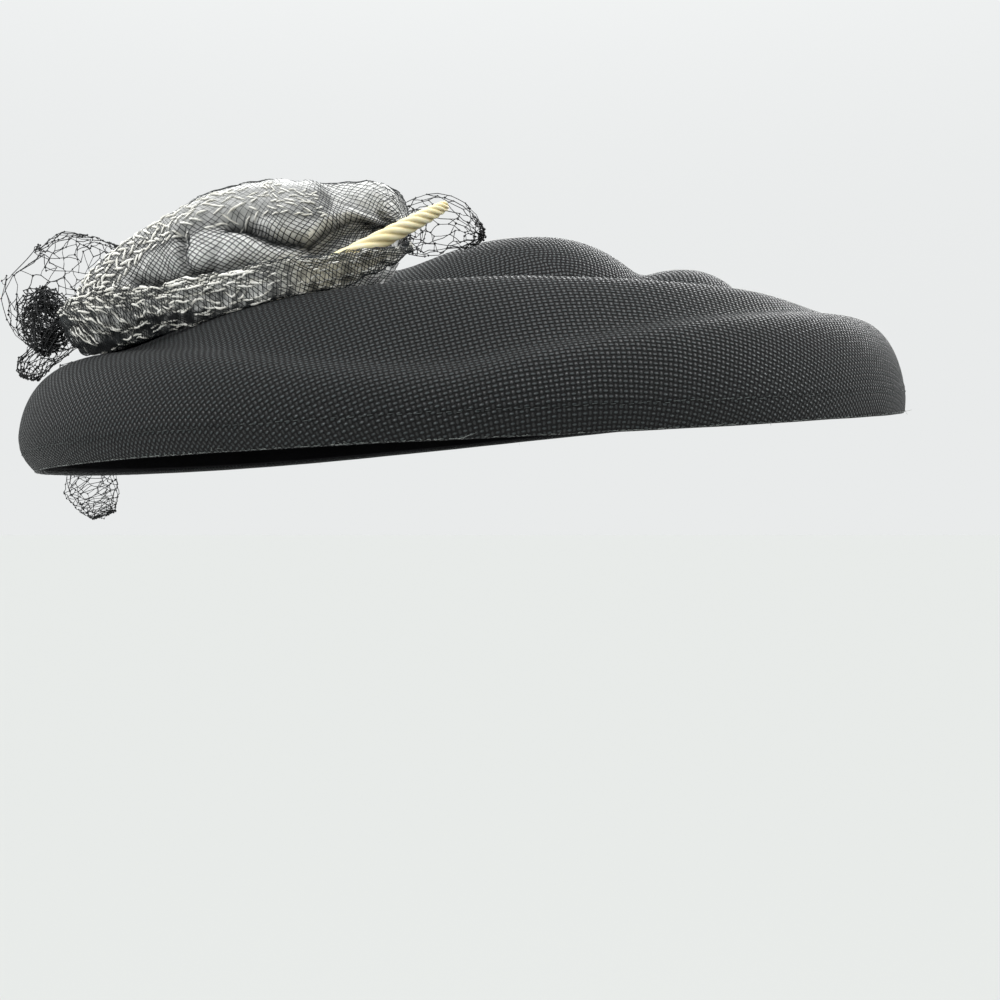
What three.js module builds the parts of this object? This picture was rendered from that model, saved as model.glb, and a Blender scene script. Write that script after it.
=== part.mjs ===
import * as THREE from "three";

// A black straw tilt hat as it is worn, in millimetres: +X to the wearer's left, +Y to the back, +Z up.
// The origin is the middle of the rim's plane, where the head enters.
// Everything is drawn on a level hat, and the whole hat is then tipped to the side and to the front.
const halfWide = 166;
const halfDeep = 155;
const strawWall = 2;
const facingWall = 1.3;
const gap = 0.35;
const seatGap = 0.5;
const sideTip = 4.5; // degrees, down on the trimmed side
const frontTip = 2.7; // degrees, down in front
const wring = 2.2; // how far the rim is wrung out of its plane
const shoulderShare = 0.3; // part of a section's run that is wall and shoulder
const shoulderPower = 2.4;
const creaseSoftness = 0.11;
const tuckHeight = 13; // the wall leans in below this height

// One row for each radial section, by its direction in degrees round the hat, front at -90.
// edge: height where the wall meets the top; round: how far in that is; crest and valley: the
// brim's high roll and the trough behind it, each with its inset; tuck: how far the rim leans in.
const sections = [
  { at: -180, edge: 35.6, round: 27, crestIn: 66, crest: 39, valleyIn: 96, valley: 38, tuck: 6 },
  { at: -150, edge: 35.4, round: 27, crestIn: 56, crest: 40.5, valleyIn: 90, valley: 37.5, tuck: 5 },
  { at: -130, edge: 31.5, round: 22, crestIn: 44, crest: 42, valleyIn: 80, valley: 36.5, tuck: 4.5 },
  { at: -115, edge: 26.5, round: 14, crestIn: 36, crest: 43, valleyIn: 72, valley: 35.5, tuck: 4 },
  { at: -103, edge: 20.5, round: 10, crestIn: 33, crest: 44.2, valleyIn: 68, valley: 34.5, tuck: 3.5 },
  { at: -90, edge: 17.5, round: 9, crestIn: 33, crest: 45, valleyIn: 67, valley: 34, tuck: 3 },
  { at: -80, edge: 21.5, round: 9, crestIn: 32, crest: 45, valleyIn: 66, valley: 34, tuck: 3 },
  { at: -64, edge: 28.5, round: 12, crestIn: 28, crest: 43, valleyIn: 62, valley: 34, tuck: 2.5 },
  { at: -48, edge: 32, round: 16, crestIn: 27, crest: 41, valleyIn: 58, valley: 34, tuck: 2 },
  { at: -30, edge: 33.8, round: 20, crestIn: 32, crest: 38.6, valleyIn: 57, valley: 34.5, tuck: 1.2 },
  { at: 0, edge: 34.3, round: 21, crestIn: 40, crest: 37, valleyIn: 58, valley: 34.5, tuck: 1.2 },
  { at: 45, edge: 33.5, round: 25, crestIn: 46, crest: 36.3, valleyIn: 64, valley: 34.5, tuck: 2.5 },
  { at: 90, edge: 33, round: 28, crestIn: 50, crest: 36, valleyIn: 70, valley: 34.5, tuck: 4 },
  { at: 135, edge: 33, round: 28, crestIn: 58, crest: 37, valleyIn: 84, valley: 36, tuck: 5.5 },
];

// The crown's lobes, each a dome on an oval; soft is the width over which it melts into the rest.
const lobes = [
  { name: "side fall", x: -9.5, y: 26, halfX: 92, halfY: 58, turn: 0, top: 75.5, soft: 12 },
  { name: "crown", x: 28, y: 26, halfX: 72, halfY: 61, turn: 0, top: 84, soft: 16 },
  { name: "small lobe", x: 90, y: 18, halfX: 40.5, halfY: 50, turn: -12, top: 64.5, soft: 6 },
];
const lobeFoot = 30;
const lobePower = 2.6;

// Trims: one row for each section along a piece. rise is the half size along the section's own
// upward direction, deep the half size across it, lean turns the section about its run in degrees.
const puffRows = [
  { x: -122.5, y: -72, z: 44, rise: 8, deep: 10, lean: 0 },
  { x: -113.5, y: -70, z: 49, rise: 14.5, deep: 21, lean: 0 },
  { x: -98, y: -69, z: 55, rise: 19, deep: 27, lean: 0 },
  { x: -82, y: -69, z: 58.5, rise: 22, deep: 31, lean: 0 },
  { x: -65, y: -70, z: 62, rise: 25.5, deep: 34, lean: 0 },
  { x: -48, y: -69, z: 63.5, rise: 25.5, deep: 35, lean: 0 },
  { x: -33, y: -67, z: 68.5, rise: 21.5, deep: 31, lean: 0 },
  { x: -21, y: -67, z: 73.5, rise: 16, deep: 22, lean: 0 },
  { x: -12.5, y: -68, z: 74.5, rise: 11, deep: 14, lean: 0 },
];
const bandRows = [
  { x: -120, y: -84, z: 43, rise: 7, deep: 1.8, lean: 28 },
  { x: -114, y: -92, z: 43.5, rise: 9, deep: 1.8, lean: 28 },
  { x: -105, y: -98, z: 45, rise: 9.5, deep: 1.8, lean: 28 },
  { x: -94, y: -101, z: 46, rise: 8.5, deep: 1.8, lean: 28 },
  { x: -83, y: -104, z: 46.5, rise: 7, deep: 1.8, lean: 28 },
  { x: -65, y: -110.5, z: 47, rise: 7, deep: 1.8, lean: 28 },
  { x: -47, y: -117, z: 48.5, rise: 6.5, deep: 1.7, lean: 26 },
  { x: -30, y: -119, z: 50, rise: 5, deep: 1.6, lean: 24 },
  { x: -18, y: -116, z: 53, rise: 3, deep: 1.5, lean: 20 },
  { x: -8, y: -112, z: 57.5, rise: 1.2, deep: 1.4, lean: 20 },
];
const quillRows = [
  { x: -49, y: -111.6, z: 46.7, rise: 1.9, deep: 1.9, lean: 0 },
  { x: -36, y: -107.4, z: 53, rise: 2.4, deep: 2.4, lean: 0 },
  { x: -16, y: -100, z: 63, rise: 2.4, deep: 2.4, lean: 0 },
  { x: -4, y: -96, z: 69.1, rise: 2, deep: 2, lean: 0 },
  { x: 2.5, y: -93.9, z: 72.4, rise: 1.3, deep: 1.3, lean: 0 },
];
const poufRows = [
  { x: -147.5, y: -57.5, z: 34, rise: 3.8, deep: 4.5, lean: 0 },
  { x: -145.3, y: -58, z: 38, rise: 4.5, deep: 6, lean: 0 },
  { x: -140.2, y: -56.5, z: 44, rise: 4, deep: 8, lean: 0 },
  { x: -141, y: -50.5, z: 53, rise: 14.5, deep: 13, lean: 0 },
  { x: -138.9, y: -45.4, z: 61.5, rise: 21.8, deep: 15.5, lean: 0 },
  { x: -130.5, y: -42, z: 69, rise: 21.5, deep: 15, lean: 0 },
  { x: -125.2, y: -40.5, z: 82.5, rise: 18, deep: 11, lean: 0 },
];
const loopRows = [
  { x: -15.5, y: -39, z: 77.5, rise: 8.5, deep: 7, lean: 0 },
  { x: -10, y: -44, z: 77.5, rise: 10.5, deep: 9, lean: 0 },
  { x: -1, y: -50, z: 77.2, rise: 9.7, deep: 9.5, lean: 0 },
  { x: 5.5, y: -52, z: 74.2, rise: 7.7, deep: 8, lean: 0 },
  { x: 12.5, y: -53, z: 71, rise: 3.5, deep: 6, lean: 0 },
];
const tailRows = [
  { x: -138, y: -26, z: 40, rise: 2.6, deep: 12, lean: 0 },
  { x: -144, y: -9, z: 39.3, rise: 2.6, deep: 13, lean: -12 },
  { x: -151, y: 9, z: 36.2, rise: 2.6, deep: 13, lean: -28 },
  { x: -160.5, y: 26, z: 29, rise: 2.6, deep: 13, lean: -38 },
  { x: -169.5, y: 39, z: 13.5, rise: 2.8, deep: 13, lean: -48 },
  { x: -173, y: 46, z: -1, rise: 3.2, deep: 13, lean: -52 },
  { x: -172, y: 50, z: -11, rise: 3.2, deep: 10, lean: -54 },
  { x: -170.5, y: 52, z: -19, rise: 2.4, deep: 6, lean: -54 },
];

const clamp = THREE.MathUtils.clamp;
const radians = THREE.MathUtils.degToRad;

function ease(share) {
  const s = clamp(share, 0, 1);
  return s * s * (3 - 2 * s);
}

// The cubic through four values at four places, read between the middle two.
function cubic(places, values, at) {
  const [p0, p1, p2, p3] = places;
  const [v0, v1, v2, v3] = values;
  const span = p2 - p1;
  const s = (at - p1) / span;
  const slope1 = ((v2 - v0) / (p2 - p0)) * span;
  const slope2 = ((v3 - v1) / (p3 - p1)) * span;
  return (
    v1 * (2 * s ** 3 - 3 * s ** 2 + 1) +
    slope1 * (s ** 3 - 2 * s ** 2 + s) +
    v2 * (3 * s ** 2 - 2 * s ** 3) +
    slope2 * (s ** 3 - s ** 2)
  );
}

// A section's values at any direction round the hat.
function sectionAt(degrees) {
  const count = sections.length;
  const direction = THREE.MathUtils.euclideanModulo(degrees + 180, 360) - 180;
  const i = sections.findLastIndex((row) => row.at <= direction);
  const near = [i - 1, i, i + 1, i + 2].map((k) => ({
    row: sections[(k + count) % count],
    at: sections[(k + count) % count].at + 360 * Math.floor(k / count),
  }));
  const places = near.map((entry) => entry.at);
  const read = (column) => cubic(places, near.map((entry) => entry.row[column]), direction);
  return {
    edge: read("edge"),
    round: read("round"),
    crestIn: read("crestIn"),
    crest: read("crest"),
    valleyIn: read("valleyIn"),
    valley: read("valley"),
    tuck: read("tuck"),
  };
}

function outlineRadius(degrees) {
  const angle = radians(degrees);
  return 1 / Math.hypot(Math.cos(angle) / halfWide, Math.sin(angle) / halfDeep);
}

// The brim's top without wall and crown: up from the edge to the crest, down into the valley.
function brimTop(section, inset) {
  const run = (inset - section.round) / (section.crestIn - section.round);
  const up = clamp(0.5 * (run + Math.sqrt(run * run + creaseSoftness ** 2)), 0, 1);
  if (inset < section.crestIn) {
    return section.edge + (section.crest - section.edge) * up * (1.5 - 0.5 * up * up);
  }
  const down = (inset - section.crestIn) / (section.valleyIn - section.crestIn);
  return section.crest + (section.valley - section.crest) * ease(down);
}

// The higher of two heights, with the corner between them filled where they come within soft.
function meltedMax(a, b, soft) {
  const share = Math.max(soft - Math.abs(a - b), 0) / soft;
  return Math.max(a, b) + (share * share * soft) / 4;
}

function topHeight(x, y, section, inset, crownLobes) {
  let height = brimTop(section, inset);
  for (const lobe of crownLobes) {
    const turn = radians(lobe.turn);
    const along = (x - lobe.x) * Math.cos(turn) + (y - lobe.y) * Math.sin(turn);
    const across = (y - lobe.y) * Math.cos(turn) - (x - lobe.x) * Math.sin(turn);
    const out = Math.hypot(along / lobe.halfX, across / lobe.halfY);
    const dome = lobeFoot + (lobe.top - lobeFoot) * (1 - out ** lobePower);
    height = meltedMax(height, dome, lobe.soft);
  }
  return height;
}

function rimLift(degrees, share) {
  return wring * Math.sin(2 * radians(degrees)) * ease(share);
}

// The straw's outer surface: degrees round the hat, run 0 at the rim to 1 in the middle.
function strawPoint(degrees, run, crownLobes = lobes) {
  const section = sectionAt(degrees);
  const radius = outlineRadius(degrees);
  const phi = (Math.PI / 2) * Math.min(run / shoulderShare, 1);
  const inner = Math.max((run - shoulderShare) / (1 - shoulderShare), 0);
  const onShoulder = run < shoulderShare;
  const inset = onShoulder
    ? section.round * (1 - Math.cos(phi) ** (2 / shoulderPower))
    : section.round + (radius - section.round) * inner;
  const fill = onShoulder ? Math.sin(phi) ** (2 / shoulderPower) : 1;
  const cos = Math.cos(radians(degrees));
  const sin = Math.sin(radians(degrees));
  const flatRadius = radius - inset;
  const top = topHeight(flatRadius * cos, flatRadius * sin, section, inset, crownLobes);
  const height = top * fill;
  const tuck = onShoulder ? section.tuck * Math.max(1 - height / tuckHeight, 0) ** 2 : 0;
  const reach = flatRadius - tuck;
  const lift = rimLift(degrees, reach / radius);
  return new THREE.Vector3(reach * cos, reach * sin, height + lift);
}

// A point under that surface, straight in from it by a depth.
function strawOffset(degrees, run, depth, crownLobes = lobes) {
  const at = (turn, share) => strawPoint(degrees + turn, clamp(share, 0, 1), crownLobes);
  const round = at(0.5, run).sub(at(-0.5, run));
  const inward = at(0, run + 0.004).sub(at(0, run - 0.004));
  const normal = round.cross(inward).normalize();
  return at(0, run).addScaledVector(normal, -depth);
}

// How high the hat's outside stands at a place seen from above, or null off the hat.
function hatTop(x, y) {
  const degrees = THREE.MathUtils.radToDeg(Math.atan2(y, x));
  const section = sectionAt(degrees);
  const radius = outlineRadius(degrees);
  const inset = radius - Math.hypot(x, y);
  if (inset <= 0) return null;
  const out = Math.max(1 - inset / section.round, 0);
  const fill = (1 - out ** shoulderPower) ** (1 / shoulderPower);
  return topHeight(x, y, section, inset, lobes) * fill + rimLift(degrees, 1 - inset / radius);
}

// A closed skin from rows of points: each row goes round once, and ends may be single points.
// A hoop's last row joins its first, with the rows in the other order.
function skin(rows, isHoop = false) {
  const positions = [];
  const starts = rows.map((row) => {
    const start = positions.length / 3;
    row.forEach((point) => positions.push(point.x, point.y, point.z));
    return start;
  });
  const index = [];
  const last = isHoop ? rows.length : rows.length - 1;
  for (let r = 0; r < last; r += 1) {
    const next = (r + 1) % rows.length;
    const count = Math.max(rows[r].length, rows[next].length);
    for (let k = 0; k < count; k += 1) {
      const a = starts[r] + (k % rows[r].length);
      const b = starts[r] + ((k + 1) % rows[r].length);
      const c = starts[next] + ((k + 1) % rows[next].length);
      const d = starts[next] + (k % rows[next].length);
      if (rows[r].length > 1) index.push(...(isHoop ? [a, b, c] : [a, c, b]));
      if (rows[next].length > 1) index.push(...(isHoop ? [a, c, d] : [a, d, c]));
    }
  }
  const geometry = new THREE.BufferGeometry();
  geometry.setAttribute("position", new THREE.Float32BufferAttribute(positions, 3));
  geometry.setIndex(index);
  geometry.computeVertexNormals();
  return geometry;
}

function ring(count, pointAt) {
  return Array.from({ length: count }, (_, k) => pointAt(-180 + (360 * k) / count));
}

const around = 56;
const shoulderSteps = 7;
const topSteps = 12;
const openingStep = 5; // of the top's steps, where the head opening's edge lies

function runSteps() {
  const steps = [];
  for (let k = 0; k <= shoulderSteps; k += 1) {
    steps.push((shoulderShare * k) / shoulderSteps);
  }
  for (let k = 1; k < topSteps; k += 1) {
    steps.push(shoulderShare + ((1 - shoulderShare) * k) / topSteps);
  }
  return steps;
}

// The blocked hat in one piece: its outside from the crown down, then back up inside.
function strawBody() {
  const steps = runSteps();
  const rows = [[strawPoint(0, 1)]];
  for (const run of [...steps].reverse()) {
    rows.push(ring(around, (degrees) => strawPoint(degrees, run)));
  }
  for (const run of steps) {
    rows.push(ring(around, (degrees) => strawOffset(degrees, run, strawWall)));
  }
  rows.push([strawPoint(0, 1).add(new THREE.Vector3(0, 0, -strawWall))]);
  return skin(rows);
}

// The facing under the brim, from the rim to the head opening: it runs straight on under the lobes.
function underbrimFacing() {
  const steps = runSteps().slice(0, shoulderSteps + openingStep + 1);
  const rowsAt = (depth) =>
    steps.map((run) => ring(around, (degrees) => strawOffset(degrees, run, depth, [])));
  const upper = rowsAt(strawWall + gap);
  const lower = rowsAt(strawWall + gap + facingWall);
  return skin([...upper, ...lower.reverse()], true);
}

function valueAlong(rows, column, share) {
  const last = rows.length - 1;
  const i = Math.min(Math.floor(share * last), last - 1);
  const values = [i - 1, i, i + 1, i + 2].map((k) => rows[clamp(k, 0, last)][column]);
  return cubic([-1, 0, 1, 2], values, share * last - i);
}

function placeAlong(rows, share) {
  return new THREE.Vector3(
    valueAlong(rows, "x", share),
    valueAlong(rows, "y", share),
    valueAlong(rows, "z", share),
  );
}

// A stuffed or crumpled piece: ovals along its rows, blunt ends, laid on the hat where it dips.
function loft(rows, { steps, sides, up, blunt, boxy }) {
  const half = steps / 2;
  const upward = up ?? new THREE.Vector3(0, 0, 1);
  const skinRows = [];
  for (let k = 0; k <= steps; k += 1) {
    const share = 0.5 - 0.5 * Math.cos((Math.PI * k) / steps);
    const middle = placeAlong(rows, share);
    const ahead = placeAlong(rows, Math.min(share + 0.01, 1));
    const behind = placeAlong(rows, Math.max(share - 0.01, 0));
    const tangent = ahead.sub(behind).normalize();
    const rise = upward.clone().addScaledVector(tangent, -upward.dot(tangent)).normalize();
    rise.applyAxisAngle(tangent, radians(valueAlong(rows, "lean", share)));
    const across = new THREE.Vector3().crossVectors(rise, tangent);
    const close = (1 - Math.abs(k / half - 1) ** blunt) ** (1 / 2);
    const halfRise = valueAlong(rows, "rise", share) * close;
    const halfDeep = valueAlong(rows, "deep", share) * close;
    const pointAt = (degrees) => {
      const cos = Math.cos(radians(degrees));
      const sin = Math.sin(radians(degrees));
      const u = Math.sign(cos) * Math.abs(cos) ** (2 / boxy) * halfRise;
      const v = Math.sign(sin) * Math.abs(sin) ** (2 / boxy) * halfDeep;
      const point = middle.clone().addScaledVector(rise, u).addScaledVector(across, v);
      const floor = hatTop(point.x, point.y);
      if (floor !== null) point.z = Math.max(point.z, floor + seatGap);
      return point;
    };
    skinRows.push(k === 0 || k === steps ? [pointAt(90)] : ring(sides, pointAt));
  }
  return skin(skinRows);
}

function gauzePuff() {
  return loft(puffRows, { steps: 22, sides: 22, blunt: 3, boxy: 2.2 });
}

function gauzeBand() {
  return loft(bandRows, { steps: 26, sides: 10, blunt: 10, boxy: 2.6 });
}

function quill() {
  return loft(quillRows, { steps: 16, sides: 12, blunt: 8, boxy: 2 });
}

function veilPouf() {
  const up = new THREE.Vector3(1, 0, 0);
  return loft(poufRows, { steps: 16, sides: 16, up, blunt: 4, boxy: 2 });
}

function veilLoop() {
  return loft(loopRows, { steps: 12, sides: 14, blunt: 3, boxy: 2 });
}

function veilTail() {
  return loft(tailRows, { steps: 20, sides: 10, blunt: 8, boxy: 2.4 });
}

const straw = { color: 0x24292b, roughness: 0.62, metalness: 0 };
const velvet = { color: 0x060607, roughness: 0.95, metalness: 0 };
const gauze = { color: 0xb9bab6, roughness: 0.85, metalness: 0 };
const horn = { color: 0xeadfb4, roughness: 0.4, metalness: 0 };
const veiling = { color: 0x17181a, roughness: 0.8, metalness: 0 };

const pieces = [
  { name: "straw_body", geometry: strawBody(), finish: straw },
  { name: "underbrim_facing", geometry: underbrimFacing(), finish: velvet },
  { name: "gauze_puff", geometry: gauzePuff(), finish: gauze },
  { name: "gauze_band", geometry: gauzeBand(), finish: gauze },
  { name: "quill", geometry: quill(), finish: horn },
  { name: "veil_pouf", geometry: veilPouf(), finish: veiling },
  { name: "veil_loop", geometry: veilLoop(), finish: veiling },
  { name: "veil_tail", geometry: veilTail(), finish: veiling },
];

const hat = new THREE.Group();
hat.rotation.set(radians(frontTip), radians(-sideTip), 0);
for (const { name, geometry, finish } of pieces) {
  const mesh = new THREE.Mesh(geometry, new THREE.MeshStandardMaterial(finish));
  mesh.name = name;
  hat.add(mesh);
}

const worn = new THREE.Group();
worn.add(hat);

export default worn;
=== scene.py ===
import math
import bpy
import numpy as np
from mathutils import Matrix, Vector


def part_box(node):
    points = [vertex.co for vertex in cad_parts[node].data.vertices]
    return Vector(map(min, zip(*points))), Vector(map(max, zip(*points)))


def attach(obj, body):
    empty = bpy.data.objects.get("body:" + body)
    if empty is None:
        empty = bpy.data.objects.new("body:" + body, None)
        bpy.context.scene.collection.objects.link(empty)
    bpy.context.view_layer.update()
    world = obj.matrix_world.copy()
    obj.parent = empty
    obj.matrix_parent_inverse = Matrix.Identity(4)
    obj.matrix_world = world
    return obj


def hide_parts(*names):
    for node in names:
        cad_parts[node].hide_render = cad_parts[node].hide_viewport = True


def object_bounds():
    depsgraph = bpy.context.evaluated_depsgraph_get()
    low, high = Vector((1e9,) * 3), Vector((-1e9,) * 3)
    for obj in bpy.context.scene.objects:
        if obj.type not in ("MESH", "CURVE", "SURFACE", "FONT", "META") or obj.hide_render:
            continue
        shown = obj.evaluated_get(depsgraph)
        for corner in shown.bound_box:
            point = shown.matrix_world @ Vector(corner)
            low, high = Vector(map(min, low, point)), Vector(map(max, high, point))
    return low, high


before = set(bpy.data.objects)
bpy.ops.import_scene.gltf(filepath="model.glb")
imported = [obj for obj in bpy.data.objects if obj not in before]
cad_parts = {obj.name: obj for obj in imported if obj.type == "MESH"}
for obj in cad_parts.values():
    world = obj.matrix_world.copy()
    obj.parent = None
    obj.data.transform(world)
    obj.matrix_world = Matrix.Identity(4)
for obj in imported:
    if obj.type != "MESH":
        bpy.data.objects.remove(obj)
cadLow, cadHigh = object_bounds()
rng = np.random.default_rng(41)

# The level hat is drawn in millimetres, then tipped as it is worn and brought to metres.
hat = {
    "halfWide": 166.0,
    "halfDeep": 155.0,
    "wall": 2.0,
    "facing": 1.3,
    "gap": 0.35,
    "sideTip": 4.5,      # degrees, down on the trimmed side
    "frontTip": 2.7,     # degrees, down in front
    "wring": 2.2,        # how far the rim is wrung out of its plane
    "shoulderShare": 0.3,
    "shoulderPower": 2.4,
    "creaseSoftness": 0.11,
    "tuckHeight": 13.0,
    "lobeFoot": 30.0,
    "lobePower": 2.6,
}

# Radial sections by direction in degrees, front at -90: edge height, its inset, the high roll,
# the trough behind it, and how far the rim leans in.
sectionColumns = ("at", "edge", "round", "crestIn", "crest", "valleyIn", "valley", "tuck")
sectionRows = [
    (-180, 35.6, 27, 66, 39, 96, 38, 6),
    (-150, 35.4, 27, 56, 40.5, 90, 37.5, 5),
    (-130, 31.5, 22, 44, 42, 80, 36.5, 4.5),
    (-115, 26.5, 14, 36, 43, 72, 35.5, 4),
    (-103, 20.5, 10, 33, 44.2, 68, 34.5, 3.5),
    (-90, 17.5, 9, 33, 45, 67, 34, 3),
    (-80, 21.5, 9, 32, 45, 66, 34, 3),
    (-64, 28.5, 12, 28, 43, 62, 34, 2.5),
    (-48, 32, 16, 27, 41, 58, 34, 2),
    (-30, 33.8, 20, 32, 38.6, 57, 34.5, 1.2),
    (0, 34.3, 21, 40, 37, 58, 34.5, 1.2),
    (45, 33.5, 25, 46, 36.3, 64, 34.5, 2.5),
    (90, 33, 28, 50, 36, 70, 34.5, 4),
    (135, 33, 28, 58, 37, 84, 36, 5.5),
]
lobes = [
    {"x": -9.5, "y": 26, "halfX": 92, "halfY": 58, "turn": 0, "top": 75.5, "soft": 12},
    {"x": 28, "y": 26, "halfX": 72, "halfY": 61, "turn": 0, "top": 84, "soft": 16},
    {"x": 90, "y": 18, "halfX": 40.5, "halfY": 50, "turn": -12, "top": 64.5, "soft": 6},
]


def ease(share):
    s = np.clip(share, 0, 1)
    return s * s * (3 - 2 * s)


def cubic(places, values, at):
    p0, p1, p2, p3 = places
    v0, v1, v2, v3 = values
    span = p2 - p1
    s = (at - p1) / span
    slope1 = (v2 - v0) / (p2 - p0) * span
    slope2 = (v3 - v1) / (p3 - p1) * span
    return (v1 * (2 * s**3 - 3 * s**2 + 1) + slope1 * (s**3 - 2 * s**2 + s)
            + v2 * (3 * s**2 - 2 * s**3) + slope2 * (s**3 - s**2))


def sectionAt(degrees):
    table = np.array(sectionRows, float)
    count = len(table)
    direction = np.mod(np.asarray(degrees, float) + 180, 360) - 180
    i = np.searchsorted(table[:, 0], direction, side="right") - 1
    near = [i - 1, i, i + 1, i + 2]
    places = [table[k % count, 0] + 360 * (k // count) for k in near]
    return {name: cubic(places, [table[k % count, column] for k in near], direction)
            for column, name in enumerate(sectionColumns) if column}


def outlineRadius(degrees):
    angle = np.radians(degrees)
    return 1 / np.hypot(np.cos(angle) / hat["halfWide"], np.sin(angle) / hat["halfDeep"])


def topHeight(x, y, section, inset, withLobes=True):
    run = (inset - section["round"]) / (section["crestIn"] - section["round"])
    up = np.clip(0.5 * (run + np.sqrt(run * run + hat["creaseSoftness"] ** 2)), 0, 1)
    rising = section["edge"] + (section["crest"] - section["edge"]) * up * (1.5 - 0.5 * up * up)
    down = (inset - section["crestIn"]) / (section["valleyIn"] - section["crestIn"])
    falling = section["crest"] + (section["valley"] - section["crest"]) * ease(down)
    height = np.where(inset < section["crestIn"], rising, falling)
    for lobe in lobes if withLobes else []:
        turn = math.radians(lobe["turn"])
        along = (x - lobe["x"]) * math.cos(turn) + (y - lobe["y"]) * math.sin(turn)
        across = (y - lobe["y"]) * math.cos(turn) - (x - lobe["x"]) * math.sin(turn)
        out = np.hypot(along / lobe["halfX"], across / lobe["halfY"])
        foot = hat["lobeFoot"]
        dome = foot + (lobe["top"] - foot) * (1 - out ** hat["lobePower"])
        share = np.maximum(lobe["soft"] - np.abs(height - dome), 0) / lobe["soft"]
        height = np.maximum(height, dome) + share * share * lobe["soft"] / 4
    return height


def rimLift(degrees, share):
    return hat["wring"] * np.sin(2 * np.radians(degrees)) * ease(share)


def strawPoint(degrees, run, withLobes=True):
    degrees, run = np.broadcast_arrays(np.asarray(degrees, float), np.asarray(run, float))
    section = sectionAt(degrees)
    radius = outlineRadius(degrees)
    share, power = hat["shoulderShare"], 2 / hat["shoulderPower"]
    phi = math.pi / 2 * np.clip(run / share, 0, 1)
    inner = np.maximum((run - share) / (1 - share), 0)
    onShoulder = run < share
    turned = section["round"] * (1 - np.cos(phi).clip(0) ** power)
    inset = np.where(onShoulder, turned, section["round"] + (radius - section["round"]) * inner)
    fill = np.where(onShoulder, np.sin(phi) ** power, 1)
    cos, sin = np.cos(np.radians(degrees)), np.sin(np.radians(degrees))
    flat = radius - inset
    height = topHeight(flat * cos, flat * sin, section, inset, withLobes) * fill
    tuck = section["tuck"] * np.maximum(1 - height / hat["tuckHeight"], 0) ** 2
    reach = flat - np.where(onShoulder, tuck, 0)
    return np.stack([reach * cos, reach * sin, height + rimLift(degrees, reach / radius)], -1)


def strawNormal(degrees, run, withLobes=True):
    around = strawPoint(degrees + 0.5, run, withLobes) - strawPoint(degrees - 0.5, run, withLobes)
    low, high = np.clip(run - 0.004, 0, 1), np.clip(run + 0.004, 0, 1)
    inward = strawPoint(degrees, high, withLobes) - strawPoint(degrees, low, withLobes)
    normal = np.cross(around, inward)
    return normal / np.linalg.norm(normal, axis=-1, keepdims=True).clip(1e-9)


def hatTop(x, y):
    degrees = np.degrees(np.arctan2(y, x))
    section = sectionAt(degrees)
    radius = outlineRadius(degrees)
    inset = radius - np.hypot(x, y)
    out = np.clip(1 - inset / section["round"], 0, 1)
    power = hat["shoulderPower"]
    height = topHeight(x, y, section, inset) * (1 - out**power) ** (1 / power)
    return np.where(inset > 0, height + rimLift(degrees, 1 - inset / radius), -1e3)


def wornFrame(points):
    side, front = math.radians(-hat["sideTip"]), math.radians(hat["frontTip"])
    x, y, z = np.moveaxis(np.asarray(points, float), -1, 0)
    tipped = z * math.cos(side) - x * math.sin(side)
    x = x * math.cos(side) + z * math.sin(side)
    y, z = y * math.cos(front) - tipped * math.sin(front), y * math.sin(front) + tipped * math.cos(front)
    return np.stack([x, y, z], -1) / 1000 + hatPlace


# The drawn hat moves to the CAD body's lowest corner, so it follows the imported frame. An offset
# under facetDrift is only the facets', and is left.
facetDrift = 0.004
hatPlace = np.zeros(3)
spread = wornFrame(strawPoint(*np.meshgrid(np.linspace(-180, 180, 721), np.linspace(0, 1, 120))))
offset = np.array(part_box("straw_body")[0]) - spread.reshape(-1, 3).min(0)
hatPlace = np.where(np.abs(offset) > facetDrift, offset, 0)
print("drawn hat against the packed one, mm:", np.round(offset * 1000, 2))


def putIn(name, data):
    item = bpy.data.objects.new(name, data)
    bpy.context.scene.collection.objects.link(item)
    return item


def meshPiece(name, points, faces, finish, slot, nodes=(), uv=None, marks=None):
    # points in level millimetres; faces as a list of index arrays with 3 or more columns
    mesh = bpy.data.meshes.new(name)
    flat = wornFrame(points).reshape(-1, 3)
    loops = np.concatenate([np.asarray(f).reshape(-1) for f in faces]).astype(np.int32)
    sizes = np.concatenate([np.full(len(f), np.asarray(f).shape[1]) for f in faces]).astype(np.int32)
    mesh.vertices.add(len(flat))
    mesh.vertices.foreach_set("co", flat.astype(np.float32).ravel())
    mesh.loops.add(len(loops))
    mesh.loops.foreach_set("vertex_index", loops)
    mesh.polygons.add(len(sizes))
    mesh.polygons.foreach_set("loop_start", np.concatenate([[0], np.cumsum(sizes)[:-1]]).astype(np.int32))
    if uv is not None:
        layer = mesh.uv_layers.new(name="cloth")
        layer.data.foreach_set("uv", np.asarray(uv, np.float32)[loops].ravel())
    for key, values in (marks or {}).items():
        mesh.attributes.new(key, "FLOAT", "POINT").data.foreach_set("value", values.astype(np.float32))
    mesh.update(calc_edges=True)
    mesh.validate()
    mesh.polygons.foreach_set("use_smooth", np.ones(len(mesh.polygons), bool))
    mesh.materials.append(finish)
    piece = putIn(name, mesh)
    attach(piece, "root")
    if nodes:
        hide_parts(*nodes)
    triangles = int(sum((np.asarray(f).shape[1] - 2) * len(f) for f in faces))
    print(f"{name}: {triangles} triangles")
    return piece


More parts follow.
